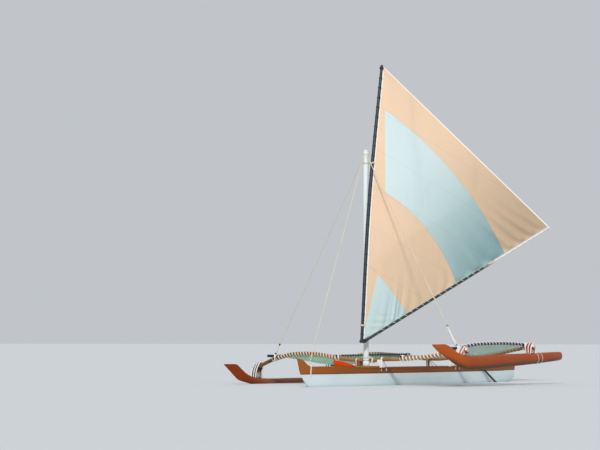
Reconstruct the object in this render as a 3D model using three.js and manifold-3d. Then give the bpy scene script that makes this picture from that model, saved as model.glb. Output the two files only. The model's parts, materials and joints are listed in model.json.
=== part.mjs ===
// Sailing outrigger canoe: narrow main hull, two curved crossbeams, a floating starboard
// outrigger float, a raised port float, nets, mast, and a swinging triangular sail.
// Millimetres. +X points to the bow, +Y to port, +Z up.
// The origin is on the waterline, on the centreline, under the mast.
import * as THREE from "three";
import { mergeVertices } from "three/addons/utils/BufferGeometryUtils.js";
import Module from "manifold-3d";

const wasm = await Module();
wasm.setup();

// Driving dimensions
const GAP = 0.3; // between pieces that touch
const HULL_WALL = 22;
const HULL_TOP = 310; // where the white hull ends and the brown washboards begin
const SHEER = 450; // top of the washboards
const BOW_SHEER = 480;
const BOARD_THICK = 22;
const COCKPIT = { fore: 760, aft: -6210 };
const BOW_BULKHEAD = 800; // the bow piece runs from here to the stem
const STERN_BULKHEAD = -6250;
const MAST = { radius: 66, foot: 600, head: 5895 };
const STEP = { height: 38, blockHalf: 85 };
const BEAM_RADIUS = 47;
const BEAM_X = { forward: -165, aft: -3320 };
const AFT_BEAM_RISE = 75; // at its port end
const NOTCH = 4; // how deep a lashed piece is let in where it crosses a beam
const FLOAT_Y = { port: 2780, starboard: -3560 };
const SADDLE_Y = 350;
const SADDLE = { forward: { halfX: 60, halfY: 75 }, aft: { halfX: 30, halfY: 38 } };
const POLE_RADIUS = 35;
const POLE = { port: 2600, starboard: -3000 };
const POLE_FORE = { port: 310, starboard: 110 };
const POLE_AFT = -3630;
const INNER_POLE = { y: 980, radius: 20 };
const NET_THICK = 10;
const NET_SAG = { port: 130, starboard: 230 };
const STAY_RADIUS = 8;
const LANYARD_RADIUS = 20;
const YARD_RADIUS = 45;
const BOOM_RADIUS = 35;
const SAIL_THICK = 8;
const SAIL_BELLY = 330;
const TACK = new THREE.Vector3(350, 110, 1060);
const YARD_MIDDLE = new THREE.Vector3(45, 130, 4560);
const HEAD = new THREE.Vector3(-500, 150, 8070);
const CLEW = new THREE.Vector3(-4725, 2480, 4040);
const PARREL = { clearance: 0.9, thick: 16, height: 34, link: 17 };
const OAR = { radius: 20, foreX: -3980, foreZ: 912, aftX: -6350, aftZ: -450 };
const THOLE = { x: -4750, y: 318, radius: 9, top: 575 }; // the pin that the oar turns on

// Main hull stations: x, half beam at HULL_TOP, keel height
const HULL_STATIONS = [
  [2742, 9, 296],
  [2660, 24, 215],
  [2560, 42, 105],
  [2440, 62, 0],
  [2200, 98, -115],
  [1800, 155, -190],
  [1300, 215, -235],
  [700, 275, -250],
  [0, 325, -255],
  [-1000, 350, -255],
  [-2200, 355, -255],
  [-3400, 345, -250],
  [-4400, 315, -235],
  [-5200, 270, -205],
  [-5900, 210, -150],
  [-6400, 155, -75],
  [-6750, 108, 10],
  [-7000, 68, 100],
];

// Bow piece stations: x, underside height, half width there, deck edge height, half width there
const BOW_STATIONS = [
  [BOW_BULKHEAD, HULL_TOP, 264, BOW_SHEER - 10, 278],
  [1300, HULL_TOP, 213, BOW_SHEER - 5, 226],
  [1800, HULL_TOP, 154, BOW_SHEER, 165],
  [2200, HULL_TOP, 98, BOW_SHEER + 5, 108],
  [2400, HULL_TOP, 69, 497, 78],
  [2480, HULL_TOP, 57, 520, 67],
  [2560, HULL_TOP, 43, 562, 56],
  [2620, HULL_TOP, 33, 612, 48],
  [2680, HULL_TOP, 22, 655, 40],
  [2745, 322, 12, 674, 32],
  [2800, 490, 14, 686, 26],
  [2868, 676, 10, 700, 16],
];
const STERN_STATIONS = [
  [STERN_BULKHEAD, HULL_TOP, 172, SHEER - 8, 186],
  [-6500, HULL_TOP, 143, SHEER - 10, 156],
  [-6750, HULL_TOP, 108, SHEER - 12, 120],
  [-7000, HULL_TOP, 68, SHEER - 16, 80],
];

// Float stations: x, top height, keel height, half width
const PORT_FLOAT = [
  [1220, 1030, 1000, 14],
  [1055, 1030, 898, 22],
  [880, 1030, 808, 30],
  [660, 1030, 722, 42],
  [440, 964, 636, 60],
  [220, 858, 546, 84],
  [0, 800, 468, 104],
  [-280, 758, 414, 120],
  [-720, 744, 406, 130],
  [-1670, 776, 445, 136],
  [-2440, 785, 478, 136],
  [-3320, 800, 520, 132],
  [-4080, 815, 565, 120],
  [-4600, 826, 598, 100],
  [-4760, 824, 616, 84],
  [-4815, 812, 640, 62],
  [-4835, 785, 680, 30],
];
const STARBOARD_FLOAT = [
  [1210, 520, 498, 14],
  [978, 520, 340, 24],
  [690, 506, 140, 42],
  [566, 425, 92, 56],
  [360, 290, 48, 80],
  [100, 190, 5, 104],
  [-280, 148, -55, 122],
  [-720, 130, -120, 132],
  [-1670, 132, -185, 138],
  [-2440, 130, -200, 138],
  [-3320, 122, -185, 134],
  [-4080, 112, -150, 122],
  [-4600, 105, -95, 100],
  [-4760, 100, -65, 84],
  [-4815, 88, -35, 62],
  [-4835, 62, 10, 30],
];

// Crossbeam centreline: y, height
const BEAM_LINE = [
  [-3720, 345],
  [-3640, 385],
  [-3540, 430],
  [-3290, 537],
  [-3034, 630],
  [-2680, 722],
  [-2460, 765],
  [-2220, 782],
  [-1990, 787],
  [-1760, 780],
  [-1540, 762],
  [-1317, 733],
  [-1140, 700],
  [-700, 648],
  [-400, 625],
  [0, 620],
  [360, 647],
  [1000, 665],
  [1600, 712],
  [2100, 775],
  [2600, 860],
  [2840, 884],
];

// Seats inside the hull: x of the middle
const SEATS = [-1150, -2200, -4050, -4950, -5750];
const SEAT = { top: 300, thick: 24, halfLength: 115 };

// Colours and finishes
const FINISH = {
  hull: { color: 0xdfe9ea, roughness: 0.35, metalness: 0 },
  brown: { color: 0xa8511f, roughness: 0.4, metalness: 0 },
  prow: { color: 0xc8602a, roughness: 0.4, metalness: 0 },
  orange: { color: 0xdc4a18, roughness: 0.4, metalness: 0 },
  float: { color: 0xb2521f, roughness: 0.35, metalness: 0 },
  wood: { color: 0xb98b4e, roughness: 0.55, metalness: 0 },
  white: { color: 0xeceeea, roughness: 0.4, metalness: 0 },
  pole: { color: 0x2e3355, roughness: 0.45, metalness: 0 },
  spar: { color: 0x2c3336, roughness: 0.45, metalness: 0 },
  rope: { color: 0xe6dcbb, roughness: 0.9, metalness: 0 },
  net: { color: 0xa9c6b4, roughness: 0.9, metalness: 0 },
  sail: { color: 0xeccbaa, roughness: 0.8, metalness: 0 },
};

const canoe = new THREE.Group();

function addMesh(name, geometry, finish) {
  const mesh = new THREE.Mesh(geometry, new THREE.MeshStandardMaterial(FINISH[finish]));
  mesh.name = name;
  canoe.add(mesh);
}

// A geometry as a manifold-3d solid, turned to face out.
function solidOf(geometry) {
  const bare = geometry.clone();
  bare.deleteAttribute("normal");
  bare.deleteAttribute("uv");
  const merged = mergeVertices(bare, 1e-3);
  const triVerts = new Uint32Array(merged.index.array);
  const vertProperties = merged.attributes.position.array;
  return new wasm.Manifold(new wasm.Mesh({ numProp: 3, vertProperties, triVerts }));
}

function geometryOf(solid) {
  const mesh = solid.getMesh();
  const geometry = new THREE.BufferGeometry();
  geometry.setAttribute("position", new THREE.BufferAttribute(mesh.vertProperties, 3));
  geometry.setIndex(new THREE.BufferAttribute(mesh.triVerts, 1));
  geometry.computeVertexNormals();
  return geometry;
}

function cut(geometry, ...tools) {
  return geometryOf(tools.reduce((solid, tool) => solid.subtract(solidOf(tool)), solidOf(geometry)));
}

function join(...pieces) {
  return geometryOf(pieces.map(solidOf).reduce((a, b) => a.add(b)));
}

// A closed skin over rings of points, all with the same number of points.
function loft(rings) {
  const count = rings[0].length;
  const points = rings.flat();
  const triangles = [];
  for (let i = 0; i + 1 < rings.length; i++)
    for (let j = 0; j < count; j++) {
      const a = i * count + j;
      const b = i * count + ((j + 1) % count);
      triangles.push(a, b, a + count, b, b + count, a + count);
    }
  const last = (rings.length - 1) * count;
  for (let j = 1; j + 1 < count; j++) {
    triangles.push(0, j + 1, j);
    triangles.push(last, last + j, last + j + 1);
  }
  const [a, b, c] = [new THREE.Vector3(), new THREE.Vector3(), new THREE.Vector3()];
  let volume = 0;
  for (let i = 0; i < triangles.length; i += 3) {
    a.copy(points[triangles[i]]);
    b.copy(points[triangles[i + 1]]);
    c.copy(points[triangles[i + 2]]);
    volume += a.dot(b.cross(c));
  }
  if (volume < 0) triangles.reverse();
  const geometry = new THREE.BufferGeometry().setFromPoints(points);
  geometry.setIndex(triangles);
  geometry.computeVertexNormals();
  return geometry;
}

function box(x, y, z, halfX, halfY, height) {
  const geometry = new THREE.BoxGeometry(2 * halfX, 2 * halfY, height);
  return geometry.translate(x, y, z + height / 2);
}

// A round tube along a smooth curve through the points.
function tube(points, radius, steps, sides = 10) {
  const shape = new THREE.Shape().absarc(0, 0, radius, 0, 2 * Math.PI);
  const extrudePath = points.length === 2
    ? new THREE.LineCurve3(points[0], points[1])
    : new THREE.CatmullRomCurve3(points, false, "centripetal");
  return new THREE.ExtrudeGeometry(shape, { steps, curveSegments: sides, bevelEnabled: false, extrudePath });
}

function between(a, b, distanceFromA) {
  return a.clone().add(b.clone().sub(a).setLength(distanceFromA));
}

// The value of a table's column at x, by straight lines between its rows.
function lookUp(table, x, column) {
  const falling = table[0][0] > table[table.length - 1][0];
  const rows = falling ? [...table].reverse() : table;
  const next = Math.max(1, rows.findIndex((row) => row[0] >= x));
  const [low, high] = [rows[next - 1], rows[next]];
  return THREE.MathUtils.mapLinear(x, low[0], high[0], low[column], high[column]);
}

// Main hull: a U section, from port edge round the keel to starboard edge
const HULL_SIDES = 14;
function hullRing([x, halfBeam, keel], inset, top) {
  const half = Math.max(halfBeam - inset, 2);
  const depth = HULL_TOP - keel - inset;
  const ring = [];
  for (let i = 0; i <= HULL_SIDES; i++) {
    const angle = (Math.PI * i) / HULL_SIDES;
    const side = Math.sign(Math.cos(angle)) * Math.abs(Math.cos(angle)) ** 0.75;
    ring.push(new THREE.Vector3(x, half * side, HULL_TOP - depth * Math.sin(angle) ** 0.85));
  }
  ring[0].z = ring[HULL_SIDES].z = HULL_TOP;
  if (top > HULL_TOP) {
    ring.unshift(new THREE.Vector3(x, half, top));
    ring.push(new THREE.Vector3(x, -half, top));
  }
  return ring;
}

function hullStation(x) {
  return [x, lookUp(HULL_STATIONS, x, 1), lookUp(HULL_STATIONS, x, 2)];
}

function cockpitSpace(inset) {
  const inside = HULL_STATIONS.filter(([x]) => x < COCKPIT.fore && x > COCKPIT.aft);
  const stations = [hullStation(COCKPIT.fore), ...inside, hullStation(COCKPIT.aft)];
  return loft(stations.map((station) => hullRing(station, inset, HULL_TOP + 50)));
}

// The hull comes apart: a solid bow and stern under the decks, and between them an open
// trough of moulded half shells that meet at the keel and at the joints
const HULL_JOINTS = { fore: -1700, aft: -4000 };
const BEYOND = 4000; // past the hull on every side
function makeHull() {
  const outside = loft(HULL_STATIONS.map((station) => hullRing(station, 0, HULL_TOP)));
  const shell = solidOf(cut(outside, cockpitSpace(HULL_WALL)));
  const section = (name, [aft, fore], [starboard, port]) => {
    const [halfX, halfY] = [(fore - aft) / 2 - GAP / 2, (port - starboard) / 2 - GAP / 2];
    const room = box((fore + aft) / 2, (starboard + port) / 2, -BEYOND, halfX, halfY, 2 * BEYOND);
    addMesh(name, geometryOf(shell.intersect(solidOf(room))), "hull");
  };
  const whole = [-BEYOND, BEYOND];
  section("hull_bow", [COCKPIT.fore, BEYOND], whole);
  section("hull_stern", [-2 * BEYOND, COCKPIT.aft], whole);
  for (const [side, across] of [["port", [0, BEYOND]], ["starboard", [-BEYOND, 0]]]) {
    section(`hull_fore_${side}`, [HULL_JOINTS.fore, COCKPIT.fore], across);
    section(`hull_mid_${side}`, [HULL_JOINTS.aft, HULL_JOINTS.fore], across);
    section(`hull_aft_${side}`, [COCKPIT.aft, HULL_JOINTS.aft], across);
  }
}

// Washboards: thin boards that stand on the hull's edge and flare a little outwards
const SHEER_RISE_X = 200; // ahead of here the washboards rise to the bow piece
const BOARD_X = [BOW_BULKHEAD, SHEER_RISE_X, 0, -1000, -2200, -3400, -4400, -5200, -5900, STERN_BULKHEAD];
function makeWashboard(name, side) {
  const rings = BOARD_X.map((station, i) => {
    const inward = i === 0 ? -GAP : i === BOARD_X.length - 1 ? GAP : 0;
    const x = station + inward;
    const low = lookUp(HULL_STATIONS, x, 1);
    const high = low + 14;
    const rise = Math.max(0, (x - SHEER_RISE_X) / (BOW_BULKHEAD - SHEER_RISE_X));
    const top = SHEER + (BOW_SHEER - 10 - SHEER) * rise;
    return [
      new THREE.Vector3(x, side * low, HULL_TOP + GAP),
      new THREE.Vector3(x, side * high, top),
      new THREE.Vector3(x, side * (high - BOARD_THICK), top),
      new THREE.Vector3(x, side * (low - BOARD_THICK), HULL_TOP + GAP),
    ];
  });
  addMesh(name, loft(rings), "brown");
}

// Decked ends: a solid with a crowned deck
const DECK_CROWN = 0.1;
function deckedEnd(stations, lift = 0) {
  return loft(stations.map(([x, low, lowHalf, edge, highHalf]) => {
    const high = edge + lift;
    return [
      new THREE.Vector3(x, lowHalf, low + GAP),
      new THREE.Vector3(x, highHalf, high),
      new THREE.Vector3(x, highHalf * 0.5, high + highHalf * DECK_CROWN * 0.75),
      new THREE.Vector3(x, 0, high + highHalf * DECK_CROWN),
      new THREE.Vector3(x, -highHalf * 0.5, high + highHalf * DECK_CROWN * 0.75),
      new THREE.Vector3(x, -highHalf, high),
      new THREE.Vector3(x, -lowHalf, low + GAP),
    ];
  }));
}

function makeDeckedEnds() {
  addMesh("bow_piece", deckedEnd(BOW_STATIONS), "prow");
  addMesh("stern_piece", deckedEnd(STERN_STATIONS), "brown");
}

// Splash guard: a V of two boards on the bow deck, highest where they meet
// Columns: x, y, top height
const GUARD_LINE = [
  [850, 258, 500],
  [1020, 205, 560],
  [1180, 125, 608],
  [1290, 40, 640],
  [1320, 0, 644],
];
const GUARD_FOOT = 465; // below the deck, which then cuts the boards' undersides
const GUARD_THICK = 20;
const GUARD_LEAN = 0.25; // forward for each unit up
function makeSplashGuard() {
  const mirrored = GUARD_LINE.slice(0, -1).reverse().map(([x, y, top]) => [x, -y, top]);
  const rings = [...GUARD_LINE, ...mirrored].map(([x, y, top]) => {
    const lean = GUARD_LEAN * (top - GUARD_FOOT);
    const inner = x - 1.3 * GUARD_THICK;
    return [
      new THREE.Vector3(x, y, GUARD_FOOT),
      new THREE.Vector3(x + lean, y * 1.05, top),
      new THREE.Vector3(inner + lean, y * 1.05, top),
      new THREE.Vector3(inner, y, GUARD_FOOT),
    ];
  });
  addMesh("splash_guard", cut(loft(rings), deckedEnd(BOW_STATIONS, GAP)), "orange");
}

function makeSeats() {
  SEATS.forEach((x, i) => {
    const plank = box(x, 0, SEAT.top - SEAT.thick, SEAT.halfLength, 400, SEAT.thick);
    const fitted = solidOf(plank).intersect(solidOf(cockpitSpace(HULL_WALL + GAP)));
    addMesh(`seat_${i + 1}`, geometryOf(fitted), "wood");
  });
}

// Mast, its step plank across the washboards and the block it stands on
function makeMast() {
  const plank = SHEER + GAP;
  addMesh("mast_step", box(0, 0, plank, 90, 345, STEP.height), "wood");
  const block = plank + STEP.height + GAP;
  const blockTop = MAST.foot - GAP;
  addMesh("mast_block", box(0, 0, block, STEP.blockHalf, STEP.blockHalf, blockTop - block), "white");
  addMesh("mast", mastGeometry(), "white");
}

function mastGeometry(extra = 0) {
  const profile = [
    [0, MAST.foot],
    [MAST.radius + extra, MAST.foot],
    [MAST.radius + extra, MAST.head - 40],
    [MAST.radius * 0.8 + extra, MAST.head - 12],
    [0, MAST.head],
  ].map(([r, z]) => new THREE.Vector2(r, z));
  return new THREE.LatheGeometry(profile, 24).rotateX(Math.PI / 2);
}

// Crossbeams. The aft one is bent up more than the forward one to port, and less to starboard.
function shareOfRise(y) {
  if (y > 0) return 0.25 + 0.75 * THREE.MathUtils.smoothstep(y, 900, 2400);
  return 0.25 - 0.6 * THREE.MathUtils.smoothstep(-y, 900, 1750);
}

function beamGeometry(x, rise, extra = 0) {
  const points = BEAM_LINE.map(([y, z]) => new THREE.Vector3(x, y, z + rise * shareOfRise(y)));
  return tube(points, BEAM_RADIUS + extra, BEAM_STEPS, 12);
}

const BEAMS = [
  { name: "forward", x: BEAM_X.forward, rise: 0 },
  { name: "aft", x: BEAM_X.aft, rise: AFT_BEAM_RISE },
];

const BEAM_STEPS = 30;
const beamCurve = new THREE.CatmullRomCurve3(
  BEAM_LINE.map(([y, z]) => new THREE.Vector3(0, y, z)), false, "centripetal");
const beamPoints = beamCurve.getSpacedPoints(BEAM_STEPS).map((p) => [p.y, p.z]);
function beamHeight(y, rise) {
  return lookUp(beamPoints, y, 1) + rise * shareOfRise(y);
}

// How far above the crossbeam's centreline something of this radius rests on it at y
function overBeam(y, radius, rise) {
  const slope = (beamHeight(y + 30, rise) - beamHeight(y - 30, rise)) / 60;
  return (BEAM_RADIUS + radius - NOTCH) * Math.hypot(1, slope);
}

// Floats: an oval section between top and keel
const FLOAT_SIDES = 12;
function floatGeometry(table, y, extra = 0) {
  return loft(table.map(([x, top, keel, halfWidth]) => {
    const ring = [];
    for (let i = 0; i < FLOAT_SIDES; i++) {
      const angle = (2 * Math.PI * (i + 0.5)) / FLOAT_SIDES;
      const across = Math.sign(Math.cos(angle)) * Math.abs(Math.cos(angle)) ** 0.85;
      const up = Math.sin(angle) / Math.sin(Math.PI / 2 - Math.PI / FLOAT_SIDES);
      const height = (top + keel) / 2 + ((top - keel) / 2 + extra) * up;
      ring.push(new THREE.Vector3(x, y + (halfWidth + extra) * across, height));
    }
    return ring;
  }));
}

function makeCrossbeamsAndFloats() {
  const floats = [
    { name: "float_port", side: "port", table: PORT_FLOAT, y: FLOAT_Y.port, finish: "float" },
    { name: "float_starboard", side: "starboard", table: STARBOARD_FLOAT, y: FLOAT_Y.starboard, finish: "float" },
  ];
  for (const { name, table, y, finish } of floats) addMesh(name, floatGeometry(table, y), finish);
  for (const { name, x, rise } of BEAMS) {
    addMesh(`crossbeam_${name}`, beamGeometry(x, rise), "wood");
    const beamSpace = beamGeometry(x, rise, GAP);
    for (const side of [1, -1]) {
      const { halfX, halfY } = SADDLE[name];
      const y = side * Math.min(SADDLE_Y, lookUp(HULL_STATIONS, x, 1) + 4);
      const base = SHEER + GAP;
      const block = box(x, y, base, halfX, halfY, beamHeight(y, rise) - base);
      addMesh(`saddle_${name}_${side > 0 ? "port" : "starboard"}`, cut(block, beamSpace), "white");
    }
    for (const { side, table, y } of floats) {
      const seat = lookUp(table, x, 1) - 25;
      const block = box(x, y, seat, 70, 42, beamHeight(y, rise) - 5 - seat);
      const fitted = cut(block, beamSpace, floatGeometry(table, y, GAP));
      addMesh(`chock_${name}_${side}`, fitted, "wood");
    }
  }
}

// Poles: the outer ones lie on the crossbeams, the inner ones on them at the nets' inner edges
function poleOver(y, radius, bow, fore = POLE_FORE.port) {
  const seat = (rise) => beamHeight(y, rise) + overBeam(y, radius, rise);
  const [front, back] = [seat(0), seat(AFT_BEAM_RISE)];
  const slope = (front - back) / (BEAM_X.forward - BEAM_X.aft);
  return [
    new THREE.Vector3(fore, y, front + slope * (fore - BEAM_X.forward)),
    new THREE.Vector3(BEAM_X.forward, y, front),
    new THREE.Vector3(-950, y, (2 * front + back) / 3 + bow * 0.85),
    new THREE.Vector3(-1740, y, (front + back) / 2 + bow),
    new THREE.Vector3(-2550, y, (front + 2 * back) / 3 + bow * 0.85),
    new THREE.Vector3(BEAM_X.aft, y, back),
    new THREE.Vector3(POLE_AFT, y, back - slope * (BEAM_X.aft - POLE_AFT)),
  ];
}

const POLE_BOW = { port: 70, starboard: 0 }; // how far the pole is sprung upwards in the middle
const POLE_STEPS = { port: 16, starboard: 8 };
function outerLine(side) {
  return poleOver(POLE[side], POLE_RADIUS, POLE_BOW[side], POLE_FORE[side]);
}

function outerPole(side, extra = 0) {
  return tube(outerLine(side), POLE_RADIUS + extra, POLE_STEPS[side]);
}

function makePoles() {
  const beams = BEAMS.map(({ x, rise }) => beamGeometry(x, rise, GAP));
  for (const side of ["port", "starboard"]) addMesh(`outer_pole_${side}`, cut(outerPole(side), ...beams), "pole");
  for (const [name, side] of [["port", 1], ["starboard", -1]]) {
    const y = side * INNER_POLE.y;
    const line = poleOver(y, INNER_POLE.radius, 0);
    const ends = [line[1].clone(), line[5].clone()];
    ends[0].x += 90;
    ends[1].x -= 90;
    addMesh(`inner_pole_${name}`, cut(tube(ends, INNER_POLE.radius, 1), ...beams), "pole");
  }
}

// Nets: thin sheets that hang from the crossbeams and, between them, from the poles
const NET_EDGE = 16; // clear of the poles, where the lacing runs
const NET_COLUMNS = 8;
const NET_ROWS = 12;
const NET_UNDER_POLE = 10; // below the poles' centrelines
function makeNet(side, sign) {
  const inner = sign * (INNER_POLE.y + INNER_POLE.radius + NET_EDGE);
  const outer = POLE[side] - sign * (POLE_RADIUS + NET_EDGE);
  const outerPath = new THREE.CatmullRomCurve3(outerLine(side), false, "centripetal");
  const outerHeights = outerPath.getSpacedPoints(40).map((p) => [p.x, p.z]);
  const innerHeights = poleOver(sign * INNER_POLE.y, INNER_POLE.radius, 0).map((p) => [p.x, p.z]);
  const fore = BEAM_X.forward - BEAM_RADIUS / 2;
  const aft = BEAM_X.aft + BEAM_RADIUS / 2;
  const rings = [];
  for (let i = 0; i <= NET_ROWS; i++) {
    const along = i / NET_ROWS;
    const x = THREE.MathUtils.lerp(fore, aft, along);
    const free = Math.sin(Math.PI * along) ** 0.5; // 0 at the crossbeams and 1 midway
    const top = [];
    for (let j = 0; j <= NET_COLUMNS; j++) {
      const across = j / NET_COLUMNS;
      const y = THREE.MathUtils.lerp(inner, outer, across);
      const laced = beamHeight(y, AFT_BEAM_RISE * along) + 20;
      const poles = THREE.MathUtils.lerp(lookUp(innerHeights, x, 1), lookUp(outerHeights, x, 1), across);
      const hung = poles - NET_UNDER_POLE - NET_SAG[side] * Math.sin(Math.PI * across) ** 0.8;
      top.push(new THREE.Vector3(x, y, THREE.MathUtils.lerp(laced, hung, free)));
    }
    const under = top.map((p) => p.clone().setZ(p.z - NET_THICK)).reverse();
    rings.push([...top, ...under]);
  }
  const beams = BEAMS.map((beam) => beamGeometry(beam.x, beam.rise, GAP));
  addMesh(`net_${side}`, cut(loft(rings), ...beams), "net");
}

function makeNets() {
  makeNet("port", 1);
  makeNet("starboard", -1);
}

// Standing rigging: straight stays from the masthead, the shrouds ending in thicker lanyards
const STAY_TOP = 5800;
const BOW_EYE = { x: 2390, halfX: 32, halfY: 14, height: 34 };
const SHROUDS = [
  { side: "port", topX: 45, lanyard: 600 },
  { side: "starboard", topX: 0, lanyard: 340 },
];
function makeStays() {
  const deck = lookUp(BOW_STATIONS, BOW_EYE.x, 3) + lookUp(BOW_STATIONS, BOW_EYE.x, 4) * DECK_CROWN;
  const block = box(BOW_EYE.x, 0, deck - 10, BOW_EYE.halfX, BOW_EYE.halfY, BOW_EYE.height + 10);
  addMesh("bow_eye", cut(block, deckedEnd(BOW_STATIONS, GAP)), "white");
  const mast = mastGeometry(GAP);
  const foreTop = new THREE.Vector3(0, 0, STAY_TOP);
  const foreFoot = new THREE.Vector3(BOW_EYE.x, 0, deck + BOW_EYE.height + 4);
  addMesh("forestay", cut(tube([foreTop, foreFoot], STAY_RADIUS, 1, 8), mast), "rope");
  for (const { side, topX, lanyard } of SHROUDS) {
    const top = new THREE.Vector3(topX, 0, STAY_TOP);
    const foot = outerLine(side)[1];
    const tackleTop = between(foot, top, lanyard);
    const tackle = tube([foot, between(tackleTop, foot, GAP)], LANYARD_RADIUS, 1, 10);
    addMesh(`lanyard_${side}`, cut(tackle, outerPole(side, GAP)), "rope");
    addMesh(`shroud_${side}`, cut(tube([tackleTop, top], STAY_RADIUS, 1, 8), mast), "rope");
  }
}

// Rig: yard, boom and sail, held to the mast by two parrels and swinging round it
const YARD_LINE = [TACK, YARD_MIDDLE, HEAD];
const yardCurve = new THREE.CatmullRomCurve3(YARD_LINE, false, "centripetal");
function yardAt(z) {
  let [low, high] = [0, 1];
  for (let i = 0; i < 30; i++) {
    const middle = (low + high) / 2;
    if (yardCurve.getPoint(middle).z < z) low = middle;
    else high = middle;
  }
  return yardCurve.getPoint(low);
}

function makeParrel(name, z) {
  const inner = MAST.radius + PARREL.clearance;
  const outer = inner + PARREL.thick;
  const ring = [
    [inner, -PARREL.height / 2],
    [outer, -PARREL.height / 2],
    [outer, PARREL.height / 2],
    [inner, PARREL.height / 2],
    [inner, -PARREL.height / 2],
  ].map(([r, h]) => new THREE.Vector2(r, h));
  const loop = new THREE.LatheGeometry(ring, 24).rotateX(Math.PI / 2).translate(0, 0, z);
  const yard = yardAt(z);
  const heart = new THREE.Vector3(0, 0, z);
  const link = tube([between(heart, yard, inner + 4), yard], PARREL.link, 1, 8);
  addMesh(name, cut(join(loop, link), tube(YARD_LINE, YARD_RADIUS + GAP, 18)), "rope");
}

const SAIL_ROWS = 14;
const SAIL_COLUMNS = 10;
const SAIL_HEAD = 0.985; // how far up the yard the cloth reaches
const SAIL_EDGE = 4; // between the cloth and the spars
function sailPoint(across, up) {
  const t = up * SAIL_HEAD;
  const luff = yardCurve.getPoint(t);
  const leech = CLEW.clone().lerp(HEAD, t);
  const chord = leech.distanceTo(luff);
  const distance = THREE.MathUtils.lerp(YARD_RADIUS + SAIL_EDGE, chord, across);
  const point = between(luff, leech, distance);
  const width = chord / CLEW.distanceTo(TACK);
  const belly = SAIL_BELLY * width * Math.sin(Math.PI * across ** 0.8) * Math.min(1, up * 3 + 0.12);
  const outward = new THREE.Vector3(CLEW.y - TACK.y, TACK.x - CLEW.x, 0).normalize();
  point.addScaledVector(outward, belly);
  point.z += (1 - up) * (BOOM_RADIUS + SAIL_EDGE + 26);
  return point;
}

function makeSail() {
  const outward = new THREE.Vector3(CLEW.y - TACK.y, TACK.x - CLEW.x, 0).setLength(SAIL_THICK / 2);
  const rings = [];
  for (let i = 0; i <= SAIL_ROWS; i++) {
    const row = [];
    for (let j = 0; j <= SAIL_COLUMNS; j++) row.push(sailPoint(j / SAIL_COLUMNS, i / SAIL_ROWS));
    const front = row.map((p) => p.clone().add(outward));
    const back = row.map((p) => p.clone().sub(outward)).reverse();
    rings.push([...front, ...back]);
  }
  const spars = [tube(YARD_LINE, YARD_RADIUS + GAP, 18), tube([TACK, CLEW], BOOM_RADIUS + GAP, 1)];
  addMesh("sail", cut(loft(rings), ...spars), "sail");
}

const PARREL_HEIGHTS = { lower: 1500, upper: 5560 };
function makeRig() {
  addMesh("yard", tube(YARD_LINE, YARD_RADIUS, 18), "spar");
  const boom = tube([TACK, between(CLEW, TACK, -60)], BOOM_RADIUS, 1, 12);
  addMesh("boom", cut(boom, tube(YARD_LINE, YARD_RADIUS + GAP, 18)), "spar");
  makeSail();
  for (const [name, z] of Object.entries(PARREL_HEIGHTS)) makeParrel(`parrel_${name}`, z);
}

// Steering oar, outboard of a thole pin on the port washboard
const OAR_Y = THOLE.y + THOLE.radius + OAR.radius + 0.5;
const OAR_TOP = new THREE.Vector3(OAR.foreX, OAR_Y, OAR.foreZ);
const OAR_END = new THREE.Vector3(OAR.aftX, OAR_Y, OAR.aftZ);
const OAR_BLADE = { length: 900, halfWidth: 105, thick: 24 };
function makeOar() {
  const slope = OAR_END.clone().sub(OAR_TOP).normalize();
  const bladeTop = between(OAR_END, OAR_TOP, OAR_BLADE.length);
  const shaft = tube([OAR_TOP, between(bladeTop, OAR_END, 60)], OAR.radius, 1, 12);
  const up = new THREE.Vector3(0, 1, 0).cross(slope);
  const ring = (along, halfWidth) => {
    const middle = bladeTop.clone().addScaledVector(slope, along * OAR_BLADE.length);
    return [[1, 1], [1, -1], [-1, -1], [-1, 1]].map(([a, b]) => middle.clone()
      .addScaledVector(up, a * halfWidth)
      .add(new THREE.Vector3(0, (b * OAR_BLADE.thick) / 2, 0)));
  };
  const blade = loft([
    ring(0, 16),
    ring(0.25, OAR_BLADE.halfWidth * 0.75),
    ring(0.6, OAR_BLADE.halfWidth),
    ring(0.92, OAR_BLADE.halfWidth * 0.9),
    ring(1, OAR_BLADE.halfWidth * 0.5),
  ]);
  addMesh("steering_oar", join(shaft, blade), "wood");
}

function makeThole() {
  const base = SHEER + GAP;
  const inner = lookUp(HULL_STATIONS, THOLE.x, 1) + 14 - BOARD_THICK;
  const halfY = (THOLE.y - inner) / 2;
  const foot = box(THOLE.x, inner + halfY, base, THOLE.radius, halfY, 22);
  const height = THOLE.top - base;
  const pin = new THREE.CylinderGeometry(THOLE.radius, THOLE.radius, height, 16).rotateX(Math.PI / 2);
  addMesh("oar_thole", join(foot, pin.translate(THOLE.x, THOLE.y, base + height / 2)), "wood");
}

makeHull();
makeWashboard("washboard_port", 1);
makeWashboard("washboard_starboard", -1);
makeDeckedEnds();
makeSplashGuard();
makeSeats();
makeMast();
makeCrossbeamsAndFloats();
makePoles();
makeNets();
makeStays();
makeRig();
makeOar();
makeThole();

export default canoe;
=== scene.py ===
"""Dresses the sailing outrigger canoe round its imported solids.

Metres. +X points to the bow, +Y to port, +Z up, and z = 0 is the waterline.
"""

import json
import logging
import math
from contextlib import contextmanager
from dataclasses import dataclass, field
from enum import Enum
from functools import partial
from typing import Callable, ClassVar, Iterator, Sequence

import bmesh
import bpy
from mathutils import Matrix, Vector

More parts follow.
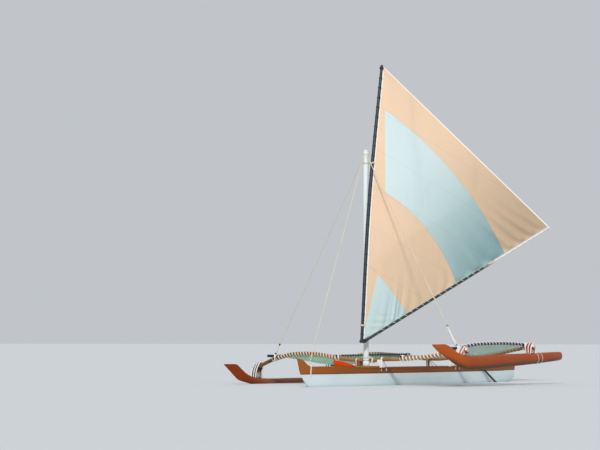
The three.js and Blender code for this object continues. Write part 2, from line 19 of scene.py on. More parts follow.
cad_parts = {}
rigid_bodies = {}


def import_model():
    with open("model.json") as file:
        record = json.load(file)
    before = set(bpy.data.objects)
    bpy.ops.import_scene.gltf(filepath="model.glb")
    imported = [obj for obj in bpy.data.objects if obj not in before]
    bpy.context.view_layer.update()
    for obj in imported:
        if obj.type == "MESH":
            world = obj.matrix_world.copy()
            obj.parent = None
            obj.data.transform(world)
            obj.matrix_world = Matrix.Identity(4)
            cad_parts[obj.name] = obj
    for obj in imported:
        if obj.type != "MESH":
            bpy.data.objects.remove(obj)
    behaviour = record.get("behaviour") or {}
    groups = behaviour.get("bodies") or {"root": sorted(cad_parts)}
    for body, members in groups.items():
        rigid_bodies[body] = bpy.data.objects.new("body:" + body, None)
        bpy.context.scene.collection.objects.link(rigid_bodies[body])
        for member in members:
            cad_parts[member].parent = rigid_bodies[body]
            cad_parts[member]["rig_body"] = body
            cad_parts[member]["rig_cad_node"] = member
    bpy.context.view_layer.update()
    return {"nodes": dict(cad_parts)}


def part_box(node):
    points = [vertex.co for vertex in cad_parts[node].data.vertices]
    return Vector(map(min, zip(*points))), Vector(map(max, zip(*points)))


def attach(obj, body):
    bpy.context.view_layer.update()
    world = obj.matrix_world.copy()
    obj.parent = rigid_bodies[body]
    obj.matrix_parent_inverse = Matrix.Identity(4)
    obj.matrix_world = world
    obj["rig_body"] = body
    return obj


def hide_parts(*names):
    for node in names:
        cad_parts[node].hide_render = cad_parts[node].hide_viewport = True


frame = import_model()

log = logging.getLogger("canoe")

Colour = tuple[float, float, float]
Row = tuple[float, ...]

AHEAD, TO_PORT, UP = Vector((1, 0, 0)), Vector((0, 1, 0)), Vector((0, 0, 1))


class Side(Enum):
    """The two sides of the boat, with the sign of their y."""

    PORT = 1
    STARBOARD = -1

    @property
    def word(self) -> str:
        """The side's name as the frame's nodes spell it."""
        return self.name.lower()

    @property
    def rope(self) -> str:
        """The finish of the side's thin ropes: the starboard ones look yellower."""
        return "rope_white" if self is Side.PORT else "rope_cream"


class Joint(Enum):
    """The two crossbeams: x of the axis, and how much higher than the forward one."""

    FORWARD = (-0.165, 0.0)
    AFT = (-3.32, 0.075)

    @property
    def word(self) -> str:
        """The crossbeam's name as the frame's nodes spell it."""
        return self.name.lower()

    @property
    def x(self) -> float:
        """Distance ahead of the mast."""
        return self.value[0]

    def rise(self, y: float) -> float:
        """Height above the forward crossbeam: the aft one is bent up more to port, less to starboard.

        Args:
            y: Where on the crossbeam.

        Returns:
            The height.
        """
        bend, reach = (0.75, 1.5) if y > 0 else (-0.6, 0.85)
        t = min(1.0, max(0.0, (abs(y) - 0.9) / reach))
        return self.value[1] * (0.25 + bend * t * t * (3 - 2 * t))


# Curves through rows of numbers


def smooth(rows: Sequence[Row], at: float) -> Row:
    """Reads a table of stations between its rows, along a smooth curve.

    Args:
        rows: The stations, sorted by their first column, up or down.
        at: The value of the first column.

    Returns:
        The other columns there.
    """
    ordered = sorted(rows)
    last = len(ordered) - 2
    i = min(max(sum(row[0] <= at for row in ordered) - 1, 0), last)
    low, high = ordered[i], ordered[i + 1]
    before = ordered[max(i - 1, 0)]
    after = ordered[min(i + 2, last + 1)]
    span = high[0] - low[0]
    t = min(max((at - low[0]) / span, 0.0), 1.0)
    found = []
    for k in range(1, len(low)):
        into = (high[k] - before[k]) / (high[0] - before[0]) * span
        out = (after[k] - low[k]) / (after[0] - low[0]) * span
        found.append(
            (2 * t**3 - 3 * t**2 + 1) * low[k]
            + (t**3 - 2 * t**2 + t) * into
            + (3 * t**2 - 2 * t**3) * high[k]
            + (t**3 - t**2) * out
        )
    return tuple(found)


def steps(first: float, last: float, count: int) -> list[float]:
    """Evenly spaced values from first to last, both included."""
    return [first + (last - first) * i / count for i in range(count + 1)]


def curved(points: Sequence[Vector], looped: bool = False, between: int = 5) -> list[Vector]:
    """Draws a smooth line through points.

    Args:
        points: The points.
        looped: Whether the line runs back to its start.
        between: How many pieces each stretch is cut into.

    Returns:
        The points of the smooth line.
    """
    count = len(points)
    last = count if looped else count - 1
    line = []
    for i in range(last):
        if looped:
            a, b, c, d = (points[(i + k) % count] for k in (-1, 0, 1, 2))
        else:
            a, b, c, d = (points[min(max(i + k, 0), count - 1)] for k in (-1, 0, 1, 2))
        for j in range(between):
            t = j / between
            line.append(((b * 2) + (c - a) * t + (a * 2 - b * 5 + c * 4 - d) * t**2
                         + (b * 3 - a - c * 3 + d) * t**3) / 2)
    if not looped:
        line.append(points[-1].copy())
    return line


def circle(sides: int) -> list[tuple[float, float]]:
    """The corners of a round section with a radius of 1."""
    angles = [2 * math.pi * k / sides for k in range(sides)]
    return [(math.cos(angle), math.sin(angle)) for angle in angles]


def mirrored(points: Sequence[Vector]) -> list[Vector]:
    """The same line on the boat's other side, run backwards."""
    return [Vector((p.x, -p.y, p.z)) for p in reversed(points)]


def mm(*rows: Sequence[float]) -> list[Row]:
    """Turns rows written in millimetres into metres."""
    return [tuple(v / 1000 for v in row) for row in rows]


def run(points: Sequence[Vector]) -> float:
    """The length of a line through points."""
    return sum((b - a).length for a, b in zip(points, points[1:]))


def wound(line: Sequence[Vector], radius: float, pitch: float, level: Vector,
          start: float = 0.0, per_turn: int = 12) -> list[Vector]:
    """The path of a strand that winds round a line.

    Args:
        line: The line.
        radius: The strand's distance from it.
        pitch: How far the strand goes along in one turn.
        level: A direction across the line.
        start: The angle that it starts at.
        per_turn: How many points each turn has.

    Returns:
        The strand's points.
    """
    total = run(line)
    count = round(total / pitch * per_turn)
    path, here, passed = [], 0, 0.0
    for i in range(count + 1):
        at = total * i / count
        while here < len(line) - 2 and passed + (line[here + 1] - line[here]).length < at:
            passed += (line[here + 1] - line[here]).length
            here += 1
        ahead = line[here + 1] - line[here]
        middle = line[here] + ahead.normalized() * (at - passed)
        across = (level - ahead * level.dot(ahead) / ahead.length_squared).normalized()
        up = ahead.normalized().cross(across)
        angle = start + 2 * math.pi * i / per_turn
        path.append(middle + (across * math.cos(angle) + up * math.sin(angle)) * radius)
    return path


def bound(centre: Vector, wide: Vector, high: Vector, count: int, advance: Vector,
          square: float = 0.6, per_turn: int = 20) -> list[Vector]:
    """The path of a rope that goes round something several times.

    Args:
        centre: The middle of the first turn.
        wide: From there to the turn's side.
        high: From there to the turn's top.
        count: How many turns it has.
        advance: From the first turn to the last one.
        square: 1 for an oval, and less for a turn with corners.
        per_turn: How many points each turn has.

    Returns:
        The rope's points.
    """
    path = []
    for i in range(count * per_turn + 1):
        angle = 2 * math.pi * i / per_turn
        c, s = math.cos(angle), math.sin(angle)
        across = math.copysign(abs(c) ** square, c)
        up = math.copysign(abs(s) ** square, s)
        path.append(centre + wide * across + high * up + advance * (i / (count * per_turn)))
    return path


# Shader maths


def maths_operator(operation: str, swapped: bool = False) -> Callable[["Value", "Value | float"], "Value"]:
    """Makes an operator between a shader value and another value or number.

    Args:
        operation: The Math node's operation.
        swapped: Whether the other value comes first.

    Returns:
        The operator.
    """

    def operator(self: "Value", other: "Value | float") -> "Value":
        """Adds the Math node."""
        return self.maths(operation, *((other, self) if swapped else (self, other)))

    return operator


class Value:
    """A shader socket that takes part in Python expressions.

    A comparison is 1 where it holds and 0 elsewhere, & takes the smaller of two masks and | the larger.
    """

    def __init__(self, shader: "Shader", socket: bpy.types.NodeSocket) -> None:
        """Wraps an output socket of a shader's node tree."""
        self.shader = shader
        self.socket = socket

    def maths(self, operation: str, *values: "Value | float") -> "Value":
        """Adds a Math node for an operation on these values."""
        return self.shader.node("ShaderNodeMath", {"operation": operation}, dict(enumerate(values)))

    __add__ = __radd__ = maths_operator("ADD")
    __sub__ = maths_operator("SUBTRACT")
    __rsub__ = maths_operator("SUBTRACT", swapped=True)
    __mul__ = __rmul__ = maths_operator("MULTIPLY")
    __truediv__ = maths_operator("DIVIDE")
    __pow__ = maths_operator("POWER")
    __gt__ = maths_operator("GREATER_THAN")
    __lt__ = maths_operator("LESS_THAN")
    __and__ = maths_operator("MINIMUM")
    __or__ = maths_operator("MAXIMUM")

    def absolute(self) -> "Value":
        """Drops the sign."""
        return self.maths("ABSOLUTE", self)

    def repeat(self, period: float) -> "Value":
        """Runs from 0 to 1 over each period."""
        return self.maths("FRACT", self / period)

    def sine(self) -> "Value":
        """The sine of an angle in radians."""
        return self.maths("SINE", self)

    def root(self) -> "Value":
        """The square root."""
        return self.maths("SQRT", self)

    def ramp(self, low: float, high: float) -> "Value":
        """Runs smoothly from 0 at low to 1 at high."""
        settings = {"interpolation_type": "SMOOTHSTEP"}
        return self.shader.node("ShaderNodeMapRange", settings, {0: self, 1: low, 2: high})

    def between(self, low: float, high: float, soft: float) -> "Value":
        """Is 1 from low to high, with soft edges."""
        return self.ramp(low - soft, low + soft) & (1 - self.ramp(high - soft, high + soft))


class Shader:
    """A material under construction."""

    def __init__(self, name: str) -> None:
        """Starts a material with a bare Principled shader.

        Args:
            name: The material's name.
        """
        self.material = bpy.data.materials.new(name)
        self.material.use_nodes = True
        self.tree = self.material.node_tree
        self.principled = self.tree.nodes["Principled BSDF"]
        place = self.tree.nodes.new("ShaderNodeTexCoord")
        self.place = Value(self, place.outputs["Object"])
        self.sheet = Value(self, place.outputs["UV"])
        self.x, self.y, self.z = self.split(self.place)

    def node(self, kind: str, settings: dict, inputs: dict, output: int | str = 0) -> Value:
        """Adds one node.

        Args:
            kind: The node's type.
            settings: Its properties, set before its sockets.
            inputs: Values or links by the socket's name or number.
            output: The socket that the node is read from.

        Returns:
            That output, ready for more maths.
        """
        made = self.tree.nodes.new(kind)
        for name, value in settings.items():
            setattr(made, name, value)
        for name, value in inputs.items():
            if isinstance(value, Value):
                self.tree.links.new(value.socket, made.inputs[name])
            else:
                made.inputs[name].default_value = value
        return Value(self, made.outputs[output])

    def split(self, vector: Value) -> tuple[Value, Value, Value]:
        """Takes a vector apart into its three numbers.

        Args:
            vector: The vector.

        Returns:
            Its x, y and z.
        """
        made = self.node("ShaderNodeSeparateXYZ", {}, {0: vector})
        outputs = made.socket.node.outputs
        return Value(self, outputs[0]), Value(self, outputs[1]), Value(self, outputs[2])

    def stretched(self, scale: tuple[float, float, float]) -> Value:
        """The object's own coordinates, scaled on each axis."""
        return self.node("ShaderNodeMapping", {}, {"Vector": self.place, "Scale": scale})

    def noise(self, size: float, detail: float = 4.0, where: Value | None = None) -> Value:
        """Cloudy noise from 0 to 1.

        Args:
            size: The clouds' size in metres.
            detail: How many finer layers it has.
            where: The coordinates, or None for the object's own.

        Returns:
            The noise.
        """
        inputs = {"Vector": where or self.place, "Scale": 1 / size, "Detail": detail}
        return self.node("ShaderNodeTexNoise", {}, inputs, "Fac")

    def mix(self, mask: Value | float, low: "Value | Colour", high: "Value | Colour",
            blend: str = "MIX") -> Value:
        """Blends two colours.

        Args:
            mask: 0 for the first colour and 1 for the second.
            low: The first colour.
            high: The second colour.
            blend: The Mix node's way of blending.

        Returns:
            The blend.
        """
        factor, first, second, result = 0, 6, 7, 2
        settings = {"data_type": "RGBA", "blend_type": blend}
        colours = {n: v if isinstance(v, Value) else (*v, 1.0) for n, v in ((first, low), (second, high))}
        return self.node("ShaderNodeMix", settings, {factor: mask, **colours}, result)

    def shade(self, colour: "Value | Colour", strength: Value | float, darkest: float) -> Value:
        """Darkens a colour: at a strength of 1, it is multiplied by darkest."""
        return self.mix(strength, colour, (darkest, darkest, darkest), "MULTIPLY")

    def bump(self, height: Value, depth: float, strength: float = 1.0) -> Value:
        """Turns a height from 0 to 1 into a normal.

        Args:
            height: The height.
            depth: How deep 1 is, in metres.
            strength: How much of it shows.

        Returns:
            The normal.
        """
        inputs = {"Height": height, "Distance": depth, "Strength": strength}
        return self.node("ShaderNodeBump", {}, inputs, "Normal")

    def finish(self, **sockets: "Value | float | Colour") -> bpy.types.Material:
        """Feeds the Principled shader.

        Args:
            sockets: Values by socket name, with _ for a space.

        Returns:
            The finished material.
        """
        for name, value in sockets.items():
            socket = self.principled.inputs[name.replace("_", " ").title().replace("Ior", "IOR")]
            if isinstance(value, Value):
                self.tree.links.new(value.socket, socket)
            elif isinstance(value, tuple):
                socket.default_value = (*value, 1.0)
            else:
                socket.default_value = value
        return self.material


# Finishes


@dataclass(frozen=True)
class Paint:
    """Brushed gloss paint with worn and dirty places.

    Towards the bow it turns into the fore colour, between the two x of the grade. Below the waterline, with
    a band on each side of it, it turns into the below colour: darker near the hull's waterline, and painted
    shade on the floats' undersides. On a float, that height is taken from the float's middle, which is two
    straight lines: x, z and slope of each.
    """

    name: str
    colour: Colour
    under: Colour
    roughness: float = 0.42
    wear: float = 0.35
    below: Colour | None = None
    waterline: float = 0.0
    band: float = 0.06
    fore: Colour | None = None
    grade: tuple[float, float] = (0.3, 2.9)
    middle: tuple[Row, Row] | None = None

    def material(self) -> bpy.types.Material:
        """Builds the material.

        Returns:
            The material.
        """
        s = Shader(self.name)
        clouds = s.noise(0.9, 5)
        grit = s.noise(0.05, 3)
        colour = s.mix(clouds.ramp(0.42, 0.72) * 0.5, self.colour, self.under)
        if self.fore:
            colour = s.mix(s.x.ramp(*self.grade), colour, self.fore)
        scuffs = (s.noise(0.22, 8) * 0.7 + grit * 0.3).ramp(0.6, 0.72) * self.wear
        colour = s.shade(colour, scuffs, 0.55)
        # The below colour is darker near the hull's waterline, and painted shade on the floats' undersides.
        if self.below:
            edge = s.z + (s.noise(0.3, 3) - 0.5) * 0.05
            if self.middle:
                lines = [(s.x - x) * slope + z for x, z, slope in self.middle]
                edge = edge - (lines[0] | lines[1])
            low_band_and_painted_shade = 1 - edge.ramp(self.waterline - self.band, self.waterline + self.band)
            colour = s.mix(low_band_and_painted_shade, colour, self.below)
        brushed = s.noise(0.012, 3, s.stretched((0.12, 1.0, 1.0)))
        return s.finish(
            base_color=colour,
            roughness=self.roughness + scuffs * 0.35 + (grit - 0.5) * 0.12,
            coat_weight=0.03,
            specular_ior_level=0.15,
            normal=s.bump(brushed, 0.0012, 0.5),
        )


class Grain(Enum):
    """The way that wood grain runs, as a stretch of the coordinates."""

    ALONG_X = (0.06, 1.0, 1.0)
    ALONG_Y = (1.0, 0.06, 1.0)


@dataclass(frozen=True)
class Wood:
    """Varnished wood with grain and, in laminated pieces, glue lines. It can carry painted shade that darkens
    it towards starboard.
    """

    name: str
    light: Colour
    dark: Colour
    grain: Grain
    roughness: float = 0.42
    laminate: float = 0.0
    weathered: float = 0.0

    def material(self) -> bpy.types.Material:
        """Builds the material.

        Returns:
            The material.
        """
        s = Shader(self.name)
        along = s.stretched(self.grain.value)
        fibre = s.noise(0.012, 6, along)
        figure = s.noise(0.07, 4, along)
        colour = s.mix((figure * 0.65 + fibre * 0.35).ramp(0.32, 0.68), self.light, self.dark)
        if self.laminate:
            ply = s.z.repeat(self.laminate)
            colour = s.shade(colour, ply.between(0.0, 0.1, 0.03), 0.6)
        # Painted shade: the wood darkens towards starboard, the crossbeams' shaded far side.
        if self.weathered:
            colour = s.shade(colour, (0 - s.y).ramp(0.4, 2.4), self.weathered)
        worn = s.noise(0.4, 4).ramp(0.5, 0.75)
        return s.finish(
            base_color=s.shade(colour, worn * 0.5, 0.7),
            roughness=self.roughness + worn * 0.25,
            coat_weight=0.05,
            specular_ior_level=0.25,
            normal=s.bump(fibre, 0.0015, 0.6),
        )


@dataclass(frozen=True)
class Rope:
    """Laid rope, with dirt on it and painted shade in the grooves between its strands. The lay is the length
    of one strand's turn.
    """

    name: str
    colour: Colour
    dirt: Colour
    lay: float = 0.03

    def material(self) -> bpy.types.Material:
        """Builds the material.

        Returns:
            The material.
        """
        s = Shader(self.name)
        # Painted shade: the colour darkens in the grooves between the strands.
        strand = ((s.x + s.y + s.z) * (2 * math.pi / self.lay)).sine() * 0.5 + 0.5
        fluff = s.noise(0.006, 3)
        soil = s.noise(0.5, 4).ramp(0.45, 0.75)
        colour = s.mix(soil * 0.6, self.colour, self.dirt)
        return s.finish(
            base_color=s.shade(colour, (1 - strand) * 0.45, 0.6),
            roughness=0.85 + fluff * 0.1,
            normal=s.bump(strand * 0.7 + fluff * 0.3, 0.003, 0.8),
        )


@dataclass(frozen=True)
class Netting:
    """Knotted diamond netting: strands, whose width is a share of the mesh, with holes between them."""

    name: str
    strand: Colour
    mesh: float = 0.085
    width: float = 0.42

    def material(self) -> bpy.types.Material:
        """Builds the material.

        Returns:
            The material.
        """
        s = Shader(self.name)
        one = (s.x + s.y).repeat(self.mesh)
        other = (s.x - s.y).repeat(self.mesh)
        strands = (one < self.width) | (other < self.width)
        tint = s.noise(0.25, 3)
        return s.finish(
            base_color=s.shade(self.strand, tint.ramp(0.4, 0.7) * 0.5, 0.6),
            roughness=0.85,
            alpha=strands,
            normal=s.bump(s.noise(0.008, 2), 0.001, 0.5),
        )


@dataclass(frozen=True)
class Arc:
    """A round seam in the sail's plane: how far aft and how high its centre is, and its radius."""

    aft: float
    up: float
    radius: float

    def away(self, aft: Value, up: Value) -> Value:
        """The distance from the centre."""
        return ((aft - self.aft) ** 2.0 + (up - self.up) ** 2.0).root()

    def inside(self, aft: Value, up: Value, soft: float = 0.006) -> Value:
        """Is 1 inside the circle."""
        return 1 - self.away(aft, up).ramp(self.radius - soft, self.radius + soft)

    def seam(self, aft: Value, up: Value, half: float) -> Value:
        """Is 1 on the circle itself."""
        return (self.away(aft, up) - self.radius).absolute() < half


@dataclass(frozen=True)
class SailCloth:
    """Sailcloth in sewn panels: peach, with a pale blue band, a blue tack and white edges.

    Its places are metres aft of the tack and above the water. The patch starts at a slanting line, given by
    a point of it and its steepness. Painted shade darkens the cloth towards the foot and the leech, and in
    its folds.
    """

    name: str
    tack: Vector
    foot: float
    heading: tuple[float, float] = (-0.663, 0.946)
    peach: Colour = (0.79, 0.565, 0.385)
    # the peach in painted shade, towards the foot and the leech
    tan: Colour = (0.46, 0.34, 0.22)
    blue: Colour = (0.60, 0.71, 0.70)
    teal: Colour = (0.18, 0.31, 0.32)
    tape: Colour = (0.88, 0.85, 0.79)
    upper: Arc = Arc(-4.229, -1.554, 9.8)
    lower: Arc = Arc(-1.431, 0.786, 4.568)
    patch: Arc = Arc(-2.507, -0.612, 4.5)
    band_edge: float = 0.69
    patch_edge: tuple[float, float, float] = (0.033, 1.165, 3.74)
    seam_gap: float = 0.92
    seam_half: float = 0.01
    head_width: float = 0.1
    leech_tape: float = 0.03
    luff_tape: float = 0.04

    def material(self) -> bpy.types.Material:
        """Builds the material.

        Returns:
            The material.
        """
        s = Shader(self.name)
        across, up, _ = s.split(s.sheet)
        aft = (s.x - self.tack.x) * self.heading[0] + (s.y - self.tack.y) * self.heading[1]
        high = s.z
        band = self.upper.inside(aft, high) & (1 - self.lower.inside(aft, high)) & (aft > self.band_edge)
        edge_aft, edge_up, steepness = self.patch_edge
        patch = self.patch.inside(aft, high) & ((high - edge_up) - (aft - edge_aft) * steepness < 0)
        # Painted shade: the peach turns to the tan, and the blue to the blue in shade, towards the foot and
        # the leech.
        shaded = (1 - up).ramp(0.25, 1.0) * 0.4 + across.ramp(0.45, 1.0) * (1 - up).ramp(0.3, 1.0) * 0.75
        peach = s.mix(shaded * 0.9 + (s.noise(1.6, 3) - 0.5) * 0.3, self.peach, self.tan)
        blue = s.mix((1 - up).ramp(0.35, 1.05) * (across.ramp(0.0, 0.8) * 0.75 + 0.25), self.blue, self.teal)
        colour = s.mix(band | patch, peach, blue)
        seams = (aft * 0.45 + high * 0.9).repeat(self.seam_gap) < 0.014
        for arc in (self.upper, self.lower, self.patch):
            seams = seams | arc.seam(aft, high, self.seam_half)
        colour = s.shade(colour, seams * 0.4, 0.8)
        chord = (1 - up) * self.foot + self.head_width
        colour = s.mix(across * chord < self.luff_tape, colour, self.tape)
        colour = s.mix((1 - across) * chord < self.leech_tape, colour, self.tape)
        # The fold noise also darkens the colour: painted shade in the folds.
        folds = s.noise(0.5, 4, s.stretched((1.0, 1.0, 0.35)))
        weave = s.noise(0.004, 2)
        return s.finish(
            base_color=s.shade(colour, folds.ramp(0.5, 0.8) * 0.35, 0.8),
            roughness=0.75 + weave * 0.15,
            normal=s.bump(folds * 0.85 + weave * 0.05 + seams * 0.1, 0.03, 0.5),
        )


@dataclass(frozen=True)
class BandedSpar:
    """Painted spar whose inner length has one colour and whose outer length another."""

    name: str
    start: Vector
    heading: Vector
    inner: Colour
    outer: Colour
    change: float
    soft: float = 0.05

    def material(self) -> bpy.types.Material:
        """Builds the material.

        Returns:
            The material.
        """
        s = Shader(self.name)
        along = (
            (s.x - self.start.x) * self.heading.x
            + (s.y - self.start.y) * self.heading.y
            + (s.z - self.start.z) * self.heading.z
        )
        colour = s.mix(along.ramp(self.change - self.soft, self.change + self.soft), self.inner, self.outer)
        scratches = s.noise(0.09, 6).ramp(0.58, 0.7)
        return s.finish(
            base_color=s.shade(colour, scratches * 0.4, 0.6),
            roughness=0.4 + scratches * 0.3,
            coat_weight=0.2,
            normal=s.bump(s.noise(0.02, 4), 0.001, 0.5),
        )


class Finishes:
    """Every finish of the boat, built once and looked up by the record's slot names."""

    def __init__(self) -> None:
        """Builds the materials."""
        tack, clew, head = Rig.tack, Rig.clew, Rig.head
        looks = {
            "hull_white": Paint("white_hull_paint", (0.64, 0.73, 0.74), (0.55, 0.66, 0.67), 0.35, 0.15,
                                (0.40, 0.56, 0.56), 0.02),
            "washboard_brown": Paint("brown_washboard_paint", (0.25, 0.075, 0.014), (0.2, 0.055, 0.01),
                                     fore=(0.34, 0.1, 0.014)),
            "prow_orange": Paint("orange_prow_paint", (0.25, 0.075, 0.014), (0.2, 0.055, 0.01),
                                 fore=(0.34, 0.1, 0.014)),
            "guard_orange": Paint("bright_guard_paint", (0.6, 0.06, 0.002), (0.5, 0.045, 0.002)),
            "seam_dark": Paint("dark_seam_paint", (0.09, 0.035, 0.015), (0.06, 0.025, 0.01), 0.5),
            "fitting_white": Paint("white_fitting_paint", (0.76, 0.76, 0.72), (0.64, 0.64, 0.6)),
            "mast_white": Paint("white_mast_paint", (0.70, 0.74, 0.73), (0.6, 0.64, 0.63), 0.35, 0.15),
            # Each float's below colour is painted shade on its underside; on the raised float it lies under
            # the float's middle line.
            "float_port_red": Paint("raised_float_paint", (0.31, 0.057, 0.01), (0.37, 0.085, 0.006),
                                    below=(0.1, 0.042, 0.015), waterline=-0.07, band=0.07,
                                    fore=(0.43, 0.078, 0.003), grade=(-0.5, 0.3),
                                    middle=((-0.72, 0.575, -0.0355), (-0.28, 0.52, 0.3))),
            "float_starboard_red": Paint("low_float_paint", (0.25, 0.07, 0.03), (0.2, 0.05, 0.02), 0.42, 0.35,
                                         (0.14, 0.05, 0.028), 0.0, 0.06, (0.24, 0.035, 0.003), (-0.6, 0.4)),
            "pole_navy": Paint("navy_pole_paint", (0.022, 0.026, 0.075), (0.016, 0.018, 0.05)),
            "seat_wood": Wood("seat_wood", (0.33, 0.17, 0.07), (0.2, 0.1, 0.04), Grain.ALONG_Y),
            "chock_wood": Wood("chock_wood", (0.24, 0.11, 0.04), (0.14, 0.06, 0.022), Grain.ALONG_X),
            # The crossbeams get painted shade towards starboard.
            "beam_wood": Wood("beam_wood", (0.46, 0.23, 0.075), (0.27, 0.12, 0.035), Grain.ALONG_Y,
                              0.4, 0.016, 0.45),
            "oar_wood": Wood("oar_wood", (0.05, 0.036, 0.026), (0.028, 0.02, 0.016), Grain.ALONG_X),
            "rope_cream": Rope("cream_rope", (0.70, 0.62, 0.46), (0.5, 0.42, 0.29)),
            "rope_white": Rope("white_rope", (0.82, 0.80, 0.74), (0.62, 0.59, 0.51)),
            "rope_red": Rope("red_rope", (0.42, 0.03, 0.025), (0.28, 0.025, 0.02)),
            "rope_dark": Rope("dark_rope", (0.045, 0.025, 0.04), (0.03, 0.02, 0.025)),
            "net_green": Netting("green_net", (0.32, 0.62, 0.42)),
            "sail_cloth": SailCloth("sewn_sailcloth", tack, (clew - tack).length),
            "spar_dark": BandedSpar("yard_paint", tack, (head - tack).normalized(),
                                    (0.018, 0.024, 0.03), (0.014, 0.018, 0.024), 5.0),
            "boom_dark": BandedSpar("boom_paint", tack, (clew - tack).normalized(),
                                    (0.012, 0.035, 0.028), (0.72, 0.69, 0.62), 4.3, 0.35),
        }
        self.made = {slot: look.material() for slot, look in looks.items()}

    def __getitem__(self, slot: str) -> bpy.types.Material:
        """The material for a slot."""
        return self.made[slot]


# Modelling


class Bench:
    """Modelling steps with Blender's own operators."""

    @staticmethod
    def clear() -> None:
        """Leaves edit mode and deselects everything."""
        if bpy.context.object and bpy.context.object.mode != "OBJECT":
            bpy.ops.object.mode_set(mode="OBJECT")
        bpy.ops.object.select_all(action="DESELECT")

    @staticmethod
    def take(piece: bpy.types.Object) -> None:
        """Selects one piece and makes it active.

        Args:
            piece: The piece.
        """
        Bench.clear()
        piece.select_set(True)
        bpy.context.view_layer.objects.active = piece

    @staticmethod
    def fresh(name: str) -> bpy.types.Object:
        """Names the object that an operator has just made, and its mesh.

        Args:
            name: The name.

        Returns:
            The object.
        """
        piece = bpy.context.object
        piece.name = piece.data.name = name
        return piece

    @staticmethod
    @contextmanager
    def editing(piece: bpy.types.Object) -> Iterator[None]:
        """Works on one piece in edit mode, starting with all of it selected.

        Args:
            piece: The piece.

        Returns:
            A context, for use in a with statement.
        """
        Bench.take(piece)
        bpy.ops.object.mode_set(mode="EDIT")
        bpy.ops.mesh.select_all(action="SELECT")
        yield
        bpy.ops.object.mode_set(mode="OBJECT")

    @staticmethod
    def settle(piece: bpy.types.Object, angle: float = 40) -> bpy.types.Object:
        """Applies modifiers and place, and shades the piece.

        Args:
            piece: The piece.
            angle: Edges sharper than this stay sharp, in degrees.

        Returns:
            The piece.
        """
        Bench.take(piece)
        for modifier in list(piece.modifiers):
            bpy.ops.object.modifier_apply(modifier=modifier.name)
        bpy.ops.object.transform_apply(location=True, rotation=True, scale=True)
        bpy.ops.object.shade_smooth_by_angle(angle=math.radians(angle))
        return piece

    @staticmethod
    def outward(piece: bpy.types.Object) -> None:
        """Merges doubles and turns every face out.

        Args:
            piece: The piece.
        """
        with Bench.editing(piece):
            bpy.ops.mesh.remove_doubles(threshold=1e-5)
            bpy.ops.mesh.normals_make_consistent(inside=False)

    @staticmethod
    def bevel(piece: bpy.types.Object, width: float) -> bpy.types.BevelModifier:
        """Adds rounded edges of this width.

        Args:
            piece: The piece.
            width: Their width.

        Returns:
            The modifier.
        """
        bevel = piece.modifiers.new("edges", "BEVEL")
        bevel.width = width
        bevel.segments = 3
        return bevel

    @staticmethod
    def sweep(name: str, section: Sequence[tuple[float, float]], stations: Sequence[Row]) -> bpy.types.Object:
        """Extrudes a closed section along X, moved and scaled at each station.

        Args:
            name: The piece's name.
            section: The section's y and z for a size of 1.
            stations: x, y and z of the section's middle, and its half width and half height.

        Returns:
            The piece, closed at both ends.
        """
        Bench.clear()
        bpy.ops.mesh.primitive_circle_add(vertices=len(section), radius=1, fill_type="NGON")
        piece = Bench.fresh(name)
        for vertex, (y, z) in zip(piece.data.vertices, section):
            vertex.co = (0, y, z)
        x, y, z, wide, high = stations[0]
        with Bench.editing(piece):
            bpy.ops.transform.resize(value=(1, wide, high), center_override=(0, 0, 0))
            bpy.ops.transform.translate(value=(x, y, z))
            for station in stations[1:]:
                move = tuple(b - a for a, b in zip((x, y, z), station))
                growth = (1, station[3] / wide, station[4] / high)
                bpy.ops.mesh.extrude_region_move(TRANSFORM_OT_translate={"value": move})
                bpy.ops.transform.resize(value=growth, center_override=station[:3])
                x, y, z, wide, high = station
        Bench.outward(piece)
        return piece

    @staticmethod
    def turned(name: str, profile: Sequence[tuple[float, float]], sides: int,
               angle: float = 40) -> bpy.types.Object:
        """Turns a round piece on the mast's axis.

        Args:
            name: The piece's name.
            profile: Heights and radii, from the bottom up.
            sides: How many sides its circle has.
            angle: Edges sharper than this stay sharp, in degrees.

        Returns:
            The piece.
        """
        piece = Bench.sweep(name, circle(sides), [(z, 0.0, 0.0, radius, radius) for z, radius in profile])
        piece.rotation_euler.y = -math.pi / 2
        return Bench.settle(piece, angle)

    @staticmethod
    def loft(name: str, rings: Sequence[Sequence[Vector]], angle: float) -> bpy.types.Object:
        """Draws a closed skin by extruding one ring of edges from station to station.

        Args:
            name: The piece's name.
            rings: The ring's points at each station, all of one count.
            angle: Edges sharper than this stay sharp, in degrees.

        Returns:
            The piece.
        """
        Bench.clear()
        bpy.ops.mesh.primitive_circle_add(vertices=len(rings[0]), radius=1, fill_type="NOTHING")
        piece = Bench.fresh(name)
        with Bench.editing(piece):
            for i, ring in enumerate(rings):
                if i:
                    bpy.ops.mesh.extrude_edges_move()
                mesh = bmesh.from_edit_mesh(piece.data)
                mesh.verts.ensure_lookup_table()
                for vertex, point in zip(mesh.verts[-len(ring):], ring):
                    vertex.co = point
                if i in (0, len(rings) - 1):
                    bpy.ops.mesh.edge_face_add()
            bmesh.update_edit_mesh(piece.data)
        Bench.outward(piece)
        return Bench.settle(piece, angle)

    @staticmethod
    def cloth(name: str, columns: int, rows: int,
              place: Callable[[float, float], Vector]) -> bpy.types.Object:
        """Makes a sheet of one layer from a grid.

        Args:
            name: The sheet's name.
            columns: How finely it is cut one way.
            rows: How finely it is cut the other way.
            place: Gives a point from how far it is along each way, from 0 to 1.

        Returns:
            The sheet.
        """
        Bench.clear()
        bpy.ops.mesh.primitive_grid_add(x_subdivisions=columns, y_subdivisions=rows, size=1)
        sheet = Bench.fresh(name)
        for vertex in sheet.data.vertices:
            vertex.co = place(vertex.co.x + 0.5, vertex.co.y + 0.5)
        sheet.data.update()
        return Bench.settle(sheet, 60)

